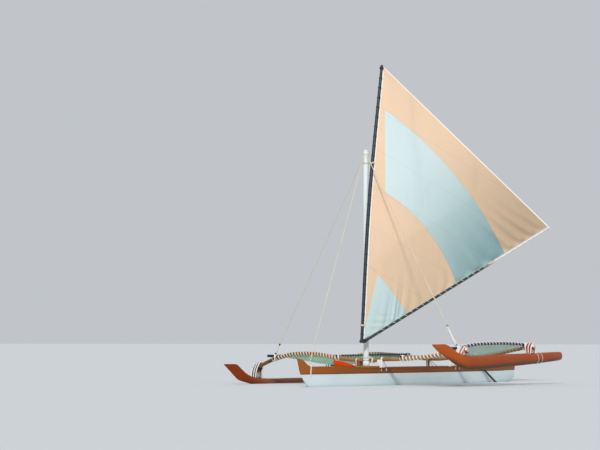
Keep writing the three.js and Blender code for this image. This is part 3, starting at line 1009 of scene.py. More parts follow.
    @staticmethod
    def cord(name: str, points: Sequence[Vector], radius: float, sides: int = 1,
             looped: bool = False) -> bpy.types.Object:
        """Draws a round rod or rope through points.

        Args:
            name: The piece's name.
            points: Where it goes.
            radius: Half its thickness.
            sides: How round it is, as Blender's bevel resolution.
            looped: Whether its end meets its start.

        Returns:
            The piece, as a mesh.
        """
        Bench.clear()
        bpy.ops.curve.primitive_nurbs_path_add()
        curve = bpy.context.object
        curve.name = name
        curve.data.splines.clear()
        spline = curve.data.splines.new("POLY")
        spline.points.add(len(points) - 1)
        for place, point in zip(spline.points, points):
            place.co = (*point, 1)
        spline.use_cyclic_u = looped
        curve.data.bevel_depth = radius
        curve.data.bevel_resolution = sides
        curve.data.use_fill_caps = True
        bpy.ops.object.convert(target="MESH")
        piece = Bench.fresh(name)
        Bench.outward(piece)
        return Bench.settle(piece, 60)

    @staticmethod
    def join(name: str, pieces: Sequence[bpy.types.Object]) -> bpy.types.Object:
        """Joins pieces into one mesh.

        Args:
            name: The joined piece's name.
            pieces: The pieces.

        Returns:
            The joined piece.
        """
        Bench.clear()
        for piece in pieces:
            piece.select_set(True)
        bpy.context.view_layer.objects.active = pieces[0]
        bpy.ops.object.join()
        return Bench.fresh(name)

    @staticmethod
    def rounded_copy(name: str, node: str, edge: float) -> bpy.types.Object:
        """Copies a CAD node and rounds its edges.

        Args:
            name: The copy's name.
            node: The node.
            edge: The width of the rounded edges.

        Returns:
            The copy.
        """
        Bench.clear()
        source = frame["nodes"][node]
        piece = source.copy()
        piece.data = source.data.copy()
        piece.parent = None
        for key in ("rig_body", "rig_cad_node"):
            if key in piece:
                del piece[key]
        bpy.context.scene.collection.objects.link(piece)
        piece.name = piece.data.name = name
        piece.data.materials.clear()
        Bench.outward(piece)
        with Bench.editing(piece):
            bpy.ops.mesh.dissolve_limited(angle_limit=math.radians(4))
        bevel = Bench.bevel(piece, edge)
        bevel.limit_method = "ANGLE"
        bevel.angle_limit = math.radians(40)
        bevel.use_clamp_overlap = True
        return Bench.settle(piece)


class Fitter:
    """Gives each finished piece its material and body, and hides the CAD nodes that it stands for."""

    def __init__(self, finishes: Finishes) -> None:
        """Keeps the finishes."""
        self.finishes = finishes
        self.count = 0

    def fit(self, piece: bpy.types.Object, look: str, body: str = "canoe",
            nodes: Sequence[str] = (), slot: str | None = None) -> bpy.types.Object:
        """Fits one piece.

        Args:
            piece: The piece.
            look: The finish it wears.
            body: The CAD body that it rides on.
            nodes: The CAD nodes that it stands for.
            slot: The record's slot, where its name isn't the finish's. Not used.

        Returns:
            The piece.
        """
        piece.data.materials.clear()
        piece.data.materials.append(self.finishes[look])
        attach(piece, body)
        if nodes:
            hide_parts(*nodes)
        self.count += 1
        log.info("%s: %d faces, on %s", piece.name, len(piece.data.polygons), body)
        return piece

    def copy(self, node: str, name: str, look: str, edge: float, slot: str | None = None) -> None:
        """Fits a copy of a CAD node with rounded edges.

        Args:
            node: The node that it stands for.
            name: The copy's name.
            look: The finish it wears.
            edge: The width of the rounded edges.
            slot: The record's slot, where its name isn't the finish's.
        """
        self.fit(Bench.rounded_copy(name, node, edge), look, nodes=[node], slot=slot)

    def ropes(self, name: str, cords: Sequence[bpy.types.Object], look: str = "rope_white",
              body: str = "canoe", nodes: Sequence[str] = ()) -> None:
        """Joins lengths of rope and fits them, under the record's one slot for rope.

        Args:
            name: The joined piece's name.
            cords: The lengths.
            look: The finish they wear.
            body: The CAD body that they ride on.
            nodes: The CAD nodes that they stand for.
        """
        self.fit(Bench.join(name, cords), look, body, nodes, "rope_cream")


# The hull


@dataclass
class Hull:
    """The main hull, its washboards, decked ends, splash guard and seats."""

    fitter: Fitter
    # heights of the hull's edge and of the washboards' edge
    top: float = 0.31
    sheer: float = 0.45
    wall: float = 0.022
    # the slit between the hull's edge and the boards on it
    gap: float = 0.0003
    # x of the hollow's two ends, and of the washboards'
    cockpit: tuple[float, float] = (0.76, -6.21)
    board_ends: tuple[float, float] = (0.8, -6.25)
    ring_sides: int = 28
    # the seams' radius, and how far they stand out and up from the hull's edge
    seam: tuple[float, float, float] = (0.007, 0.003, 0.004)
    # x, half beam at the top, keel height
    stations: list[Row] = field(default_factory=lambda: mm(
        (2742, 9, 296), (2660, 24, 215), (2560, 42, 105), (2440, 62, 0), (2200, 98, -115),
        (1800, 155, -190), (1300, 215, -235), (700, 275, -250), (0, 325, -255), (-1000, 350, -255),
        (-2200, 355, -255), (-3400, 345, -250), (-4400, 315, -235), (-5200, 270, -205),
        (-5900, 210, -150), (-6400, 155, -75), (-6750, 108, 10), (-7000, 68, 100)))
    # x, half width below, deck edge height, half width there: also for the stern
    bow: list[Row] = field(default_factory=lambda: mm(
        (800, 264, 470, 278), (1300, 213, 475, 226), (1800, 154, 480, 165), (2200, 98, 485, 108),
        (2400, 69, 497, 78), (2480, 57, 520, 67), (2560, 43, 562, 56), (2620, 33, 612, 48),
        (2680, 22, 655, 40), (2745, 12, 674, 32), (2800, 14, 686, 26), (2868, 10, 700, 16)))
    # x and height of the bow piece's underside
    stem: list[Row] = field(default_factory=lambda: mm(
        (0, 310), (2600, 310), (2742, 311), (2800, 490), (2868, 676)))
    stern: list[Row] = field(default_factory=lambda: mm(
        (-6250, 172, 442, 186), (-6500, 143, 440, 156), (-6750, 108, 438, 120), (-7000, 68, 434, 80)))

    def half_beam(self, x: float) -> float:
        """Half the hull's width at its top."""
        return smooth(self.stations, x)[0]

    def section(self, lift: float = 0.0) -> list[tuple[float, float]]:
        """The hull's round section for a half width and a depth of 1.

        Args:
            lift: How far its sides go on above the hull's top.

        Returns:
            The section's points.
        """
        points = []
        for i in range(self.ring_sides + 1):
            angle = math.pi * i / self.ring_sides
            side = math.copysign(abs(math.cos(angle)) ** 0.75, math.cos(angle))
            sink = math.sin(angle) ** 0.85 if 0 < i < self.ring_sides else 0
            points.append((side, -sink))
        return [(1, lift), *points, (-1, lift)] if lift else points

    def station(self, x: float, inset: float) -> Row:
        """The section's middle and size at x, a little further in, as Bench.sweep takes it."""
        half, keel = smooth(self.stations, x)
        return x, 0.0, self.top, max(half - inset, 0.002), self.top - keel - inset

    def make_shell(self) -> None:
        """The white hull, hollowed out between its decked ends."""
        ends = (self.stations[0][0], self.stations[-1][0])
        shell = Bench.sweep("hull_shell", self.section(), [self.station(x, 0) for x in steps(*ends, 72)])
        hollow = [self.station(x, self.wall) for x in steps(*self.cockpit, 48)]
        inside = Bench.sweep("cockpit_space", self.section(0.2), hollow)
        opening = shell.modifiers.new("cockpit", "BOOLEAN")
        opening.object = inside
        opening.solver = "EXACT"
        Bench.settle(shell)
        bpy.data.objects.remove(inside)
        halves = [f"hull_{part}_{side.word}" for part in ("fore", "mid", "aft") for side in Side]
        self.fitter.fit(shell, "hull_white", nodes=["hull_bow", "hull_stern", *halves])

    def make_washboards(self) -> None:
        """The brown boards on the hull's edge, with a capping rail and a dark seam."""
        thick, flare, lip, gap = 0.022, 0.014, 0.004, self.gap
        seam, out, up = self.seam
        fore, aft = self.board_ends
        for side in Side:
            boards, caps, seams = [], [], []
            for x in steps(fore - gap, aft + gap, 60):
                low = self.half_beam(x)
                top = self.sheer + max(0.0, (x - 0.2) / 0.6) * 0.02
                profile = [
                    (low, self.top + gap), (low + flare * 0.5, self.top + 0.07),
                    (low + flare, top - 0.006), (low + flare - lip, top),
                    (low + flare - thick + lip, top), (low + flare - thick, top - 0.006),
                    (low + flare * 0.5 - thick, self.top + 0.07), (low - thick, self.top + gap),
                ]
                boards.append([Vector((x, side.value * y, z)) for y, z in profile])
                seams.append(Vector((x, side.value * (low + out), self.top + up)))
                caps.append(Vector((x, side.value * (low + flare - 0.002), top - 0.012)))
            name = f"washboard_{side.word}"
            self.fitter.fit(Bench.loft(name + "_board", boards, 30), "washboard_brown", nodes=[name])
            line = Bench.cord(name + "_seam", seams, seam, 3)
            self.fitter.fit(line, "seam_dark", slot="washboard_brown")
            self.fitter.fit(Bench.cord(name + "_rail", caps, 0.011, 3), "washboard_brown")

    def decked_ring(self, x: float, low: float, low_half: float, high: float, half: float) -> list[Vector]:
        """A decked end's section: crowned deck, rounded edge, and sides that swell a little.

        Args:
            x: Where it is.
            low: The height of the sides' foot.
            low_half: Half the width there.
            high: The height of the deck's edge.
            half: Half the width there.

        Returns:
            The section's points.
        """
        crown = 0.1 * half
        across = [(1.0, -0.0018), (0.97, 0.0), (0.85, 0.3 * crown), (0.6, 0.65 * crown), (0.3, 0.92 * crown),
                  (0.0, crown)]
        right = [Vector((x, half * a, high + c)) for a, c in across]
        middle = low + (high - low) * 0.5
        swell = low_half + (half - low_half) * 0.55
        side = [Vector((x, low_half, low)), Vector((x, swell, middle)), *right]
        return side + mirrored(side[:-1])

    def make_bow(self) -> None:
        """The upturned bow piece with its deck."""
        rings = []
        for x in steps(self.bow[0][0], self.bow[-1][0], 44):
            low_half, high, half = smooth(self.bow, x)
            low = self.stem_height(x)
            rings.append(self.decked_ring(x, low + self.gap, low_half, max(high, low + 0.012), half))
        self.fitter.fit(Bench.loft("bow_end_piece", rings, 32), "prow_orange", nodes=["bow_piece"])
        radius, out, up = self.seam
        seam = [Vector((x, self.half_beam(x) + out, self.top + up)) for x in steps(self.bow[0][0], 2.73, 30)]
        line = Bench.cord("bow_seam", seam + mirrored(seam), radius, 3)
        self.fitter.fit(line, "seam_dark", slot="prow_orange")

    def stem_height(self, x: float) -> float:
        """The height of the bow piece's underside, which climbs along the stem.

        Args:
            x: Where it is.

        Returns:
            The height.
        """
        for (x0, z0), (x1, z1) in zip(self.stem, self.stem[1:]):
            if x <= x1:
                return z0 + (z1 - z0) * (x - x0) / (x1 - x0)
        return self.stem[-1][1]

    def make_stern(self) -> None:
        """The stern piece with its deck."""
        rings = []
        for x in steps(self.stern[0][0], self.stern[-1][0], 12):
            low_half, high, half = smooth(self.stern, x)
            rings.append(self.decked_ring(x, self.top + self.gap, low_half, high, half))
        stern = Bench.loft("stern_end_piece", rings, 32)
        self.fitter.fit(stern, "washboard_brown", nodes=["stern_piece"])

    def make_fittings(self) -> None:
        """The splash guard, the seats, the bow eye, the mast's step and its round block."""
        self.fitter.copy("splash_guard", "splash_guard_boards", "guard_orange", 0.006)
        for i in range(1, 6):
            self.fitter.copy(f"seat_{i}", f"seat_plank_{i}", "seat_wood", 0.005)
        self.fitter.copy("bow_eye", "bow_eye_block", "fitting_white", 0.005)
        self.fitter.copy("mast_step", "mast_step_plank", "seat_wood", 0.008)
        low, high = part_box("mast_block")
        rows = ((low.z, 0.078), (low.z + 0.01, 0.085), (high.z - 0.025, 0.083), (high.z, 0.072))
        block = Bench.turned("mast_foot_block", rows, 32)
        self.fitter.fit(block, "fitting_white", nodes=["mast_block"])

    def build(self) -> None:
        """Builds the whole hull."""
        self.make_shell()
        self.make_washboards()
        self.make_bow()
        self.make_stern()
        self.make_fittings()


# Outriggers


# y and height of the forward crossbeam's centreline
BEAM_LINE = mm(
    (-3720, 345), (-3640, 385), (-3540, 430), (-3290, 537), (-3034, 630), (-2680, 722), (-2460, 765),
    (-2220, 782), (-1990, 787), (-1760, 780), (-1540, 762), (-1317, 733), (-1140, 700), (-700, 648),
    (-400, 625), (0, 620), (360, 647), (1000, 665), (1600, 712), (2100, 775), (2600, 860), (2840, 884))


@dataclass
class Outriggers:
    """Crossbeams, floats, chocks and saddles."""

    fitter: Fitter
    beam_radius: float = 0.047
    beam_ends: tuple[float, float] = (-3.64, 2.88)
    float_sides: int = 24
    # x, top height, keel height, half width
    stations: dict[Side, list[Row]] = field(default_factory=lambda: {Side.PORT: mm(
        (1220, 1030, 1000, 14), (1055, 1030, 898, 22), (880, 1030, 808, 30), (660, 1030, 722, 42),
        (440, 964, 636, 60), (220, 858, 546, 84), (0, 800, 468, 104), (-280, 758, 414, 120),
        (-720, 744, 406, 130), (-1670, 776, 445, 136), (-2440, 785, 478, 136), (-3320, 800, 520, 132),
        (-4080, 815, 565, 120), (-4600, 826, 598, 100), (-4760, 824, 616, 84), (-4815, 812, 640, 62),
        (-4835, 785, 680, 30)), Side.STARBOARD: mm(
        (1210, 520, 498, 14), (978, 520, 340, 24), (690, 506, 140, 42), (566, 425, 92, 56),
        (360, 290, 48, 80), (100, 190, 5, 104), (-280, 148, -55, 122), (-720, 130, -120, 132),
        (-1670, 132, -185, 138), (-2440, 130, -200, 138), (-3320, 122, -185, 134),
        (-4080, 112, -150, 122), (-4600, 105, -95, 100), (-4760, 100, -65, 84), (-4815, 88, -35, 62),
        (-4835, 62, 10, 30))})
    # y of each float
    place: dict[Side, float] = field(default_factory=lambda: {Side.PORT: 2.78, Side.STARBOARD: -3.56})

    @staticmethod
    def beam_height(y: float, joint: Joint) -> float:
        """The height of a crossbeam's centreline."""
        return smooth(BEAM_LINE, y)[0] + joint.rise(y)

    def beam_line(self, joint: Joint, first: float, last: float, count: int) -> list[Vector]:
        """Points of a crossbeam's centreline between two y."""
        return [Vector((joint.x, y, self.beam_height(y, joint))) for y in steps(first, last, count)]

    def make_beams(self) -> None:
        """The two curved crossbeams, with rounded ends."""
        for joint in Joint:
            line = self.beam_line(joint, *self.beam_ends, 90)
            beam = Bench.cord(f"{joint.word}_beam", line, self.beam_radius, 8)
            self.fitter.fit(beam, "beam_wood", nodes=[f"crossbeam_{joint.word}"])

    def float_section(self) -> list[tuple[float, float]]:
        """A float's oval section for a half width and a half height of 1.

        Returns:
            The section's points.
        """
        section = []
        for i in range(self.float_sides):
            angle = 2 * math.pi * (i + 0.5) / self.float_sides
            across = math.copysign(abs(math.cos(angle)) ** 0.85, math.cos(angle))
            section.append((across, math.sin(angle) / math.cos(math.pi / self.float_sides)))
        return section

    def float_station(self, side: Side, x: float) -> Row:
        """A float's middle and size at x, as Bench.sweep takes it."""
        top, keel, half = smooth(self.stations[side], x)
        return x, self.place[side], (top + keel) / 2, half, (top - keel) / 2

    def make_floats(self) -> None:
        """The two floats."""
        for side in Side:
            fore, aft = self.stations[side][0][0], self.stations[side][-1][0]
            stations = [self.float_station(side, x) for x in steps(fore, aft, 84)]
            name = f"float_{side.word}"
            piece = Bench.settle(Bench.sweep(name + "_body", self.float_section(), stations))
            self.fitter.fit(piece, f"float_{side.word}_red", nodes=[name])

    def make_blocks(self) -> None:
        """Saddles on the washboards and chocks on the floats."""
        for joint in Joint:
            for side in Side:
                end = f"{joint.word}_{side.word}"
                look = "fitting_white" if side is Side.PORT else "chock_wood"
                self.fitter.copy(f"saddle_{end}", f"saddle_block_{end}", look, 0.01, "fitting_white")
                self.fitter.copy(f"chock_{end}", f"chock_block_{end}", "chock_wood", 0.006)

    def build(self) -> None:
        """Builds the outriggers."""
        self.make_beams()
        self.make_floats()
        self.make_blocks()


@dataclass
class Decks:
    """The poles and the nets between the crossbeams, with their lacing.

    The poles sit a notch deep in the crossbeams. The outer ones spring up in their middle. The nets stop an
    edge away from the poles and sag between them. The strand is the lacing's radius, and the pitch is how
    far it goes in one turn round a crossbeam.
    """

    fitter: Fitter
    outriggers: Outriggers
    outer_radius: float = 0.035
    inner_radius: float = 0.02
    inner_y: float = 0.98
    notch: float = 0.004
    aft_end: float = -3.63
    edge: float = 0.016
    pole_pitch: float = 0.15
    strand: float = 0.008
    outer_y: dict[Side, float] = field(default_factory=lambda: {Side.PORT: 2.6, Side.STARBOARD: -3.0})
    fore_end: dict[Side, float] = field(default_factory=lambda: {Side.PORT: 0.31, Side.STARBOARD: 0.11})
    sag: dict[Side, float] = field(default_factory=lambda: {Side.PORT: 0.13, Side.STARBOARD: 0.23})
    spring: dict[Side, float] = field(default_factory=lambda: {Side.PORT: 0.07, Side.STARBOARD: 0.0})
    pitch: dict[Side, float] = field(default_factory=lambda: {Side.PORT: 0.105, Side.STARBOARD: 0.09})

    def over_beam(self, y: float, radius: float, joint: Joint) -> Vector:
        """The point of a pole's centreline where it lies on a crossbeam.

        Args:
            y: Where on the crossbeam.
            radius: The pole's radius.
            joint: The crossbeam.

        Returns:
            The point.
        """
        height = self.outriggers.beam_height
        slope = (height(y + 0.03, joint) - height(y - 0.03, joint)) / 0.06
        above = self.outriggers.beam_radius + radius - self.notch
        return Vector((joint.x, y, height(y, joint) + above * math.hypot(1, slope)))

    def outer_line(self, side: Side) -> list[Vector]:
        """The centreline of an outer pole, sprung upwards in its middle.

        Args:
            side: The pole's side of the boat.

        Returns:
            Its points, from the front.
        """
        fore, aft = (self.over_beam(self.outer_y[side], self.outer_radius, joint) for joint in Joint)
        along = (fore - aft) / (fore.x - aft.x)
        points = [fore + along * (self.fore_end[side] - fore.x), fore]
        for x, share, rise in ((-0.95, 1 / 3, 0.85), (-1.74, 1 / 2, 1), (-2.55, 2 / 3, 0.85)):
            height = fore.z + (aft.z - fore.z) * share + self.spring[side] * rise
            points.append(Vector((x, fore.y, height)))
        return curved([*points, aft, aft + along * (self.aft_end - aft.x)], between=8)

    def inner_line(self, side: Side) -> list[Vector]:
        """The centreline of an inner pole, which ends a little past the crossbeams.

        Args:
            side: The pole's side of the boat.

        Returns:
            Its points, from the front.
        """
        fore, aft = (self.over_beam(side.value * self.inner_y, self.inner_radius, joint) for joint in Joint)
        past = AHEAD * 0.09
        return [(fore + past).lerp(aft - past, t) for t in steps(0, 1, 30)]

    def make_poles(self) -> None:
        """The four poles."""
        for side in Side:
            outer = Bench.cord(f"outer_spar_{side.word}", self.outer_line(side), self.outer_radius, 5)
            self.fitter.fit(outer, "pole_navy", nodes=[f"outer_pole_{side.word}"])
            inner = Bench.cord(f"inner_spar_{side.word}", self.inner_line(side), self.inner_radius, 4)
            self.fitter.fit(inner, "pole_navy", nodes=[f"inner_pole_{side.word}"])

    def net_point(self, side: Side, along: float, across: float) -> Vector:
        """A point of a net.

        Args:
            side: The net's side of the boat.
            along: 0 at the forward crossbeam and 1 at the aft one.
            across: 0 at the inner pole and 1 at the outer one.

        Returns:
            The point.
        """
        half = self.outriggers.beam_radius / 2
        x = (Joint.FORWARD.x - half) * (1 - along) + (Joint.AFT.x + half) * along
        inner = side.value * (self.inner_y + self.inner_radius + self.edge)
        outer = self.outer_y[side] - side.value * (self.outer_radius + self.edge)
        y = inner + (outer - inner) * across
        free = max(0.0, math.sin(math.pi * along)) ** 0.5
        laced = self.outriggers.beam_height(y, Joint.FORWARD) + Joint.AFT.rise(y) * along + 0.02
        poles = self.pole_height(self.inner_line(side), x) * (1 - across)
        poles += self.pole_height(self.outer_line(side), x) * across
        hung = poles - 0.01 - self.sag[side] * max(0.0, math.sin(math.pi * across)) ** 0.8
        return Vector((x, y, laced * (1 - free) + hung * free - 0.005))

    @staticmethod
    def pole_height(line: Sequence[Vector], x: float) -> float:
        """The height of a pole's centreline at x.

        Args:
            line: The centreline, from the front.
            x: Where it is read.

        Returns:
            The height.
        """
        for a, b in zip(line, line[1:]):
            if b.x <= x:
                return a.z + (b.z - a.z) * (x - a.x) / (b.x - a.x)
        return line[-1].z

    def make_nets(self) -> None:
        """The knotted nets with a rope along their inner and outer edges."""
        for side in Side:
            net = Bench.cloth(f"knotted_net_{side.word}", 48, 32, partial(self.net_point, side))
            self.fitter.fit(net, "net_green", nodes=[f"net_{side.word}"])
            length = run([self.net_point(side, t, 0.5) for t in steps(0, 1, 40)])
            width = run([self.net_point(side, 0.5, t) for t in steps(0, 1, 40)])
            rims = [[self.net_point(side, t, edge) for t in steps(0, 1, 40)] for edge in (0, 1)]
            self.fitter.ropes(f"net_rims_{side.word}", [Bench.cord("rim", rim, 0.006) for rim in rims],
                              "rope_cream")

    def strands(self, line: Sequence[Vector], radius: float, pitch: float, level: Vector,
                count: int = 2, thick: float = 0.008) -> list[bpy.types.Object]:
        """Lacing that winds round a line as one strand, or as two side by side.

        Args:
            line: The line.
            radius: The strands' distance from it.
            pitch: How far they go along in one turn.
            level: A direction across the line.
            count: How many strands there are.
            thick: The strands' radius.

        Returns:
            The strands.
        """
        apart = 4.4 * self.strand * math.pi / pitch
        paths = [wound(line, radius, pitch, level, turn * apart) for turn in range(count)]
        return [Bench.cord("lace", path, thick) for path in paths]

    def make_lacing(self) -> None:
        """The lines that lace the nets to the crossbeams and poles."""
        for side in Side:
            laces = []
            for joint in Joint:
                ends = sorted((side.value * 1.03, self.outer_y[side] - side.value * 0.09))
                line = self.outriggers.beam_line(joint, *ends, 40)
                thin = joint is Joint.AFT and side is Side.PORT
                count, thick = (1, 0.6 * self.strand) if thin else (2, self.strand)
                radius = self.outriggers.beam_radius + self.strand * 0.8
                laces += self.strands(line, radius, self.pitch[side], AHEAD, count, thick)
            outer, inner = ([p for p in line if Joint.AFT.x + 0.08 < p.x < Joint.FORWARD.x - 0.08]
                            for line in (self.outer_line(side), self.inner_line(side)))
            laces += self.strands(outer, self.outer_radius + self.strand * 0.7, self.pole_pitch, TO_PORT)
            laces += self.strands(inner, self.inner_radius + self.strand * 0.6, 0.11, TO_PORT, 1,
                                  0.7 * self.strand)
            self.fitter.ropes(f"net_lacing_{side.word}", laces, side.rope)

    def make_crossings(self) -> None:
        """The crossed turns that tie each pole to each crossbeam."""
        reach, slant, spread = self.outriggers.beam_radius + 0.012, 0.7, 0.045
        for side in Side:
            turns = []
            for joint in Joint:
                for y, radius in ((self.outer_y[side], self.outer_radius),
                                  (side.value * self.inner_y, self.inner_radius)):
                    low = self.outriggers.beam_height(y, joint) - self.outriggers.beam_radius
                    high = self.over_beam(y, radius, joint).z + radius
                    centre = Vector((joint.x, y, (low + high) / 2))
                    tall = UP * ((high - low) / 2 + 0.009)
                    for lean in (1, -1):
                        wide = (AHEAD + TO_PORT * lean) * slant * reach * 1.15
                        advance = (TO_PORT * lean - AHEAD) * slant * spread
                        path = bound(centre - advance / 2, wide, tall, 3, advance, 0.7)
                        turns.append(Bench.cord("turns", path, 0.008))
            self.fitter.ropes(f"pole_lashings_{side.word}", turns)

    def build(self) -> None:
        """Builds the poles and nets."""
        self.make_poles()
        self.make_nets()
        self.make_lacing()
        self.make_crossings()


@dataclass
class Lashings:
    """The ropes that hold the crossbeams to the hull and to the floats."""

    fitter: Fitter
    hull: Hull
    outriggers: Outriggers
    # radii of the thin ropes and of the hoops over the crossbeams' ends
    rope: float = 0.009
    thick: float = 0.0165
    # how far outboard of the float's middle the middle one of the five hoops crosses the crossbeam
    centre: dict[tuple[Side, Joint], float] = field(default_factory=lambda: {
        (Side.PORT, Joint.FORWARD): -0.06, (Side.PORT, Joint.AFT): -0.02,
        (Side.STARBOARD, Joint.FORWARD): -0.01, (Side.STARBOARD, Joint.AFT): -0.01})
    # how far ahead of the crossbeam the hoops' feet stand, in front and behind
    reach: dict[Joint, tuple[float, float]] = field(default_factory=lambda: {
        Joint.FORWARD: (0.17, -0.1), Joint.AFT: (0.11, -0.13)})
    # which hoops have the second colour, from the hull outwards
    accents: dict[tuple[Side, Joint], tuple[int, ...]] = field(default_factory=lambda: {
        (Side.PORT, Joint.FORWARD): (3,), (Side.PORT, Joint.AFT): (1, 3),
        (Side.STARBOARD, Joint.FORWARD): (1, 3), (Side.STARBOARD, Joint.AFT): (1, 3)})

    def strap(self, joint: Joint, y: float, lean: float, feet: Sequence[tuple[float, float]],
              thick: float, over: float = 0.0) -> bpy.types.Object:
        """One rope over a crossbeam and down on both sides of it.

        Args:
            joint: The crossbeam.
            y: Where the rope crosses it.
            lean: How far across the feet stand from there.
            feet: How far ahead of the crossbeam and how high the front and the back foot stand.
            thick: The rope's radius.
            over: How thick other ropes lie under it.

        Returns:
            The rope.
        """
        axis = self.outriggers.beam_height(y, joint)
        radius = self.outriggers.beam_radius + over
        path = [Vector((joint.x, y, axis + radius + thick))]
        for ahead, low in feet:
            leg = [Vector((joint.x + math.copysign(radius + thick * 0.5, ahead), y, axis + 0.02)),
                   Vector((joint.x + ahead * 0.9, y + lean * 0.5, max(low + 0.02, axis * 0.6 + low * 0.4))),
                   Vector((joint.x + ahead, y + lean, low))]
            path = list(reversed(leg)) + path if ahead > 0 else path + leg
        return Bench.cord("strap", curved(path), thick)

    def make_saddle_lashings(self) -> None:
        """Ropes over each crossbeam at the saddles, down into the washboards."""
        foot = self.hull.sheer - 0.01
        places = {Joint.FORWARD: (0.052, 0.072), Joint.AFT: (-0.009, 0.01, 0.029)}
        for side in Side:
            ropes = []
            for joint in Joint:
                half = {Joint.FORWARD: 0.06, Joint.AFT: 0.03}[joint] + self.rope
                middle = min(0.35, self.hull.half_beam(joint.x) + 0.004) - 0.012
                for offset in places[joint]:
                    y, lean = side.value * (middle + offset), -side.value * max(0.0, offset - 0.045)
                    ropes.append(self.strap(joint, y, lean, ((half, foot), (-half, foot)), self.rope))
            self.fitter.ropes(f"saddle_lashings_{side.word}", ropes, side.rope)

    def make_step_ties(self) -> None:
        """The ropes that tie the forward crossbeam to the mast's step."""
        low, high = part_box("mast_step")
        x, axis = Joint.FORWARD.x, self.outriggers.beam_height(0.1, Joint.FORWARD)
        out = self.outriggers.beam_radius + self.rope
        ropes = []
        for side in Side:
            for y in (0.092, 0.11):
                line = (
                    (low.x + 0.03, high.z + 0.006), (low.x - 0.008, high.z + 0.02),
                    (x + out * 0.8, axis + 0.02), (x, axis + out), (x - out, axis),
                    (x - 0.02, axis - out * 1.1), (low.x - 0.012, low.z + 0.01),
                    (low.x + 0.03, low.z - 0.006), (low.x + 0.05, (low.z + high.z) / 2),
                )
                points = [Vector((a, side.value * y, c)) for a, c in line]
                ropes.append(Bench.cord("tie", curved(points, True), self.rope, looped=True))
        self.fitter.ropes("step_ties", ropes)

    def make_side_stays(self) -> None:
        """The ropes from each crossbeam over the washboards' outer faces."""
        feet = {Joint.FORWARD: (-0.17, -0.38), Joint.AFT: (-3.56, -3.74)}
        ropes = []
        for joint, places in feet.items():
            for side in Side:
                y = self.hull.half_beam(joint.x) + 0.03
                for foot in places:
                    face = self.hull.half_beam(foot)
                    start = self.outriggers.beam_height(y, joint) - 0.02
                    line = [
                        (joint.x - 0.045, y, start), ((foot + joint.x) / 2 - 0.02, y, (start + 0.47) / 2),
                        (foot, face + 0.022, 0.458), (foot, face + 0.022, 0.43),
                        (foot, face + 0.0165, 0.38), (foot, face - 0.004, 0.362),
                    ]
                    points = [Vector((a, side.value * b, c)) for a, b, c in line]
                    ropes.append(Bench.cord("side_stay", curved(points), self.rope))
        self.fitter.ropes("side_stays", ropes)

    def make_float_lashings(self) -> None:
        """Ropes of two colours over the crossbeams' ends, down to the floats and round the chocks."""
        tips = {Side.PORT: 2.862, Side.STARBOARD: -3.716}
        spacing = 0.044
        for side in Side:
            place = self.outriggers.place[side]
            for joint in Joint:
                pale, strong, feet = [], [], []
                for ahead in self.reach[joint]:
                    _, _, middle, _, tall = self.outriggers.float_station(side, joint.x + ahead)
                    feet.append((ahead, middle + tall * 0.93))
                for i in range(5):
                    y = place + side.value * (self.centre[side, joint] + spacing * (i - 2))
                    rope = self.strap(joint, y, (place - y) * 0.3, feet, self.thick, 2 * self.thick)
                    (strong if i in self.accents[side, joint] else pale).append(rope)
                _, _, middle, _, tall = self.outriggers.float_station(side, joint.x)
                foot = Vector((joint.x, place, middle + tall + 0.012))
                line = self.outriggers.beam_line(joint, place - side.value * 0.05, tips[side], 16)
                for held, lift, start in ((pale, 0, 0), (strong, 0.017, math.pi)):
                    path = bound(foot + UP * lift, AHEAD * (0.07 + self.rope), TO_PORT * (0.042 + self.rope),
                                 4, UP * 0.136, 0.35)
                    held.append(Bench.cord("lashing", path, self.rope))
                    path = wound(line, self.outriggers.beam_radius + self.thick * 0.8, 4 * self.thick, AHEAD,
                                 start)
                    held.append(Bench.cord("whipping", path, self.thick))
                pale.append(self.end_coil(line[-1], (line[-1] - line[-2]).normalized()))
                name = f"{joint.word}_{side.word}"
                self.fitter.ropes(f"float_lashings_{name}", pale)
                accent = "rope_red" if side is Side.PORT else "rope_dark"
                self.fitter.ropes(f"float_bindings_{name}", strong, accent)

    def end_coil(self, centre: Vector, out: Vector) -> bpy.types.Object:
        """A flat coil of rope that covers a crossbeam's end.

        Args:
            centre: The middle of the crossbeam's end.
            out: The direction out of the end.

        Returns:
            The coil.
        """
        up = AHEAD.cross(out)
        whole = 6 * math.pi
        points = []
        for angle in steps(0, whole, 60):
            radius = self.outriggers.beam_radius * (1 - angle / whole * 0.85)
            arm = AHEAD * math.cos(angle) + up * math.sin(angle)
            points.append(centre + out * (self.rope * 1.2) + arm * radius)
        return Bench.cord("coil", points, self.rope)

    def make_float_turns(self) -> None:
        """Thin rope turns round the raised float, behind the aft crossbeam."""
        turns = []
        for x in (-3.52, -3.71):
            _, y, middle, half, tall = self.outriggers.float_station(Side.PORT, x)
            path = bound(Vector((x, y, middle)), Vector((0.03, half + 0.004, 0)), UP * (tall + 0.005), 1,
                         AHEAD * -0.012, 0.95, 40)
            turns.append(Bench.cord("turn", path, 0.005))
        self.fitter.ropes("float_turns", turns)

    def make_bow_strop(self) -> None:
        """The rope over the bow that holds the forestay's eye."""
        x = 2.43
        low_half, high, half = smooth(self.hull.bow, x)
        hull_half = self.hull.half_beam(x)
        side = [(hull_half * 0.93, 0.25), (hull_half + 0.009, 0.27), (low_half + 0.009, 0.32),
                (half + 0.008, high - 0.03), (half * 0.96, high + 0.009), (half * 0.5, high + 0.0165),
                (0, high + half * 0.1 + 0.009)]
        right = [Vector((x, y, z)) for y, z in side]
        line = curved(right + mirrored(right[:-1]))
        ropes = [Bench.cord("strop", [p - AHEAD * shift for p in line], self.rope) for shift in (0, 0.02)]
        self.fitter.ropes("bow_strop", ropes)

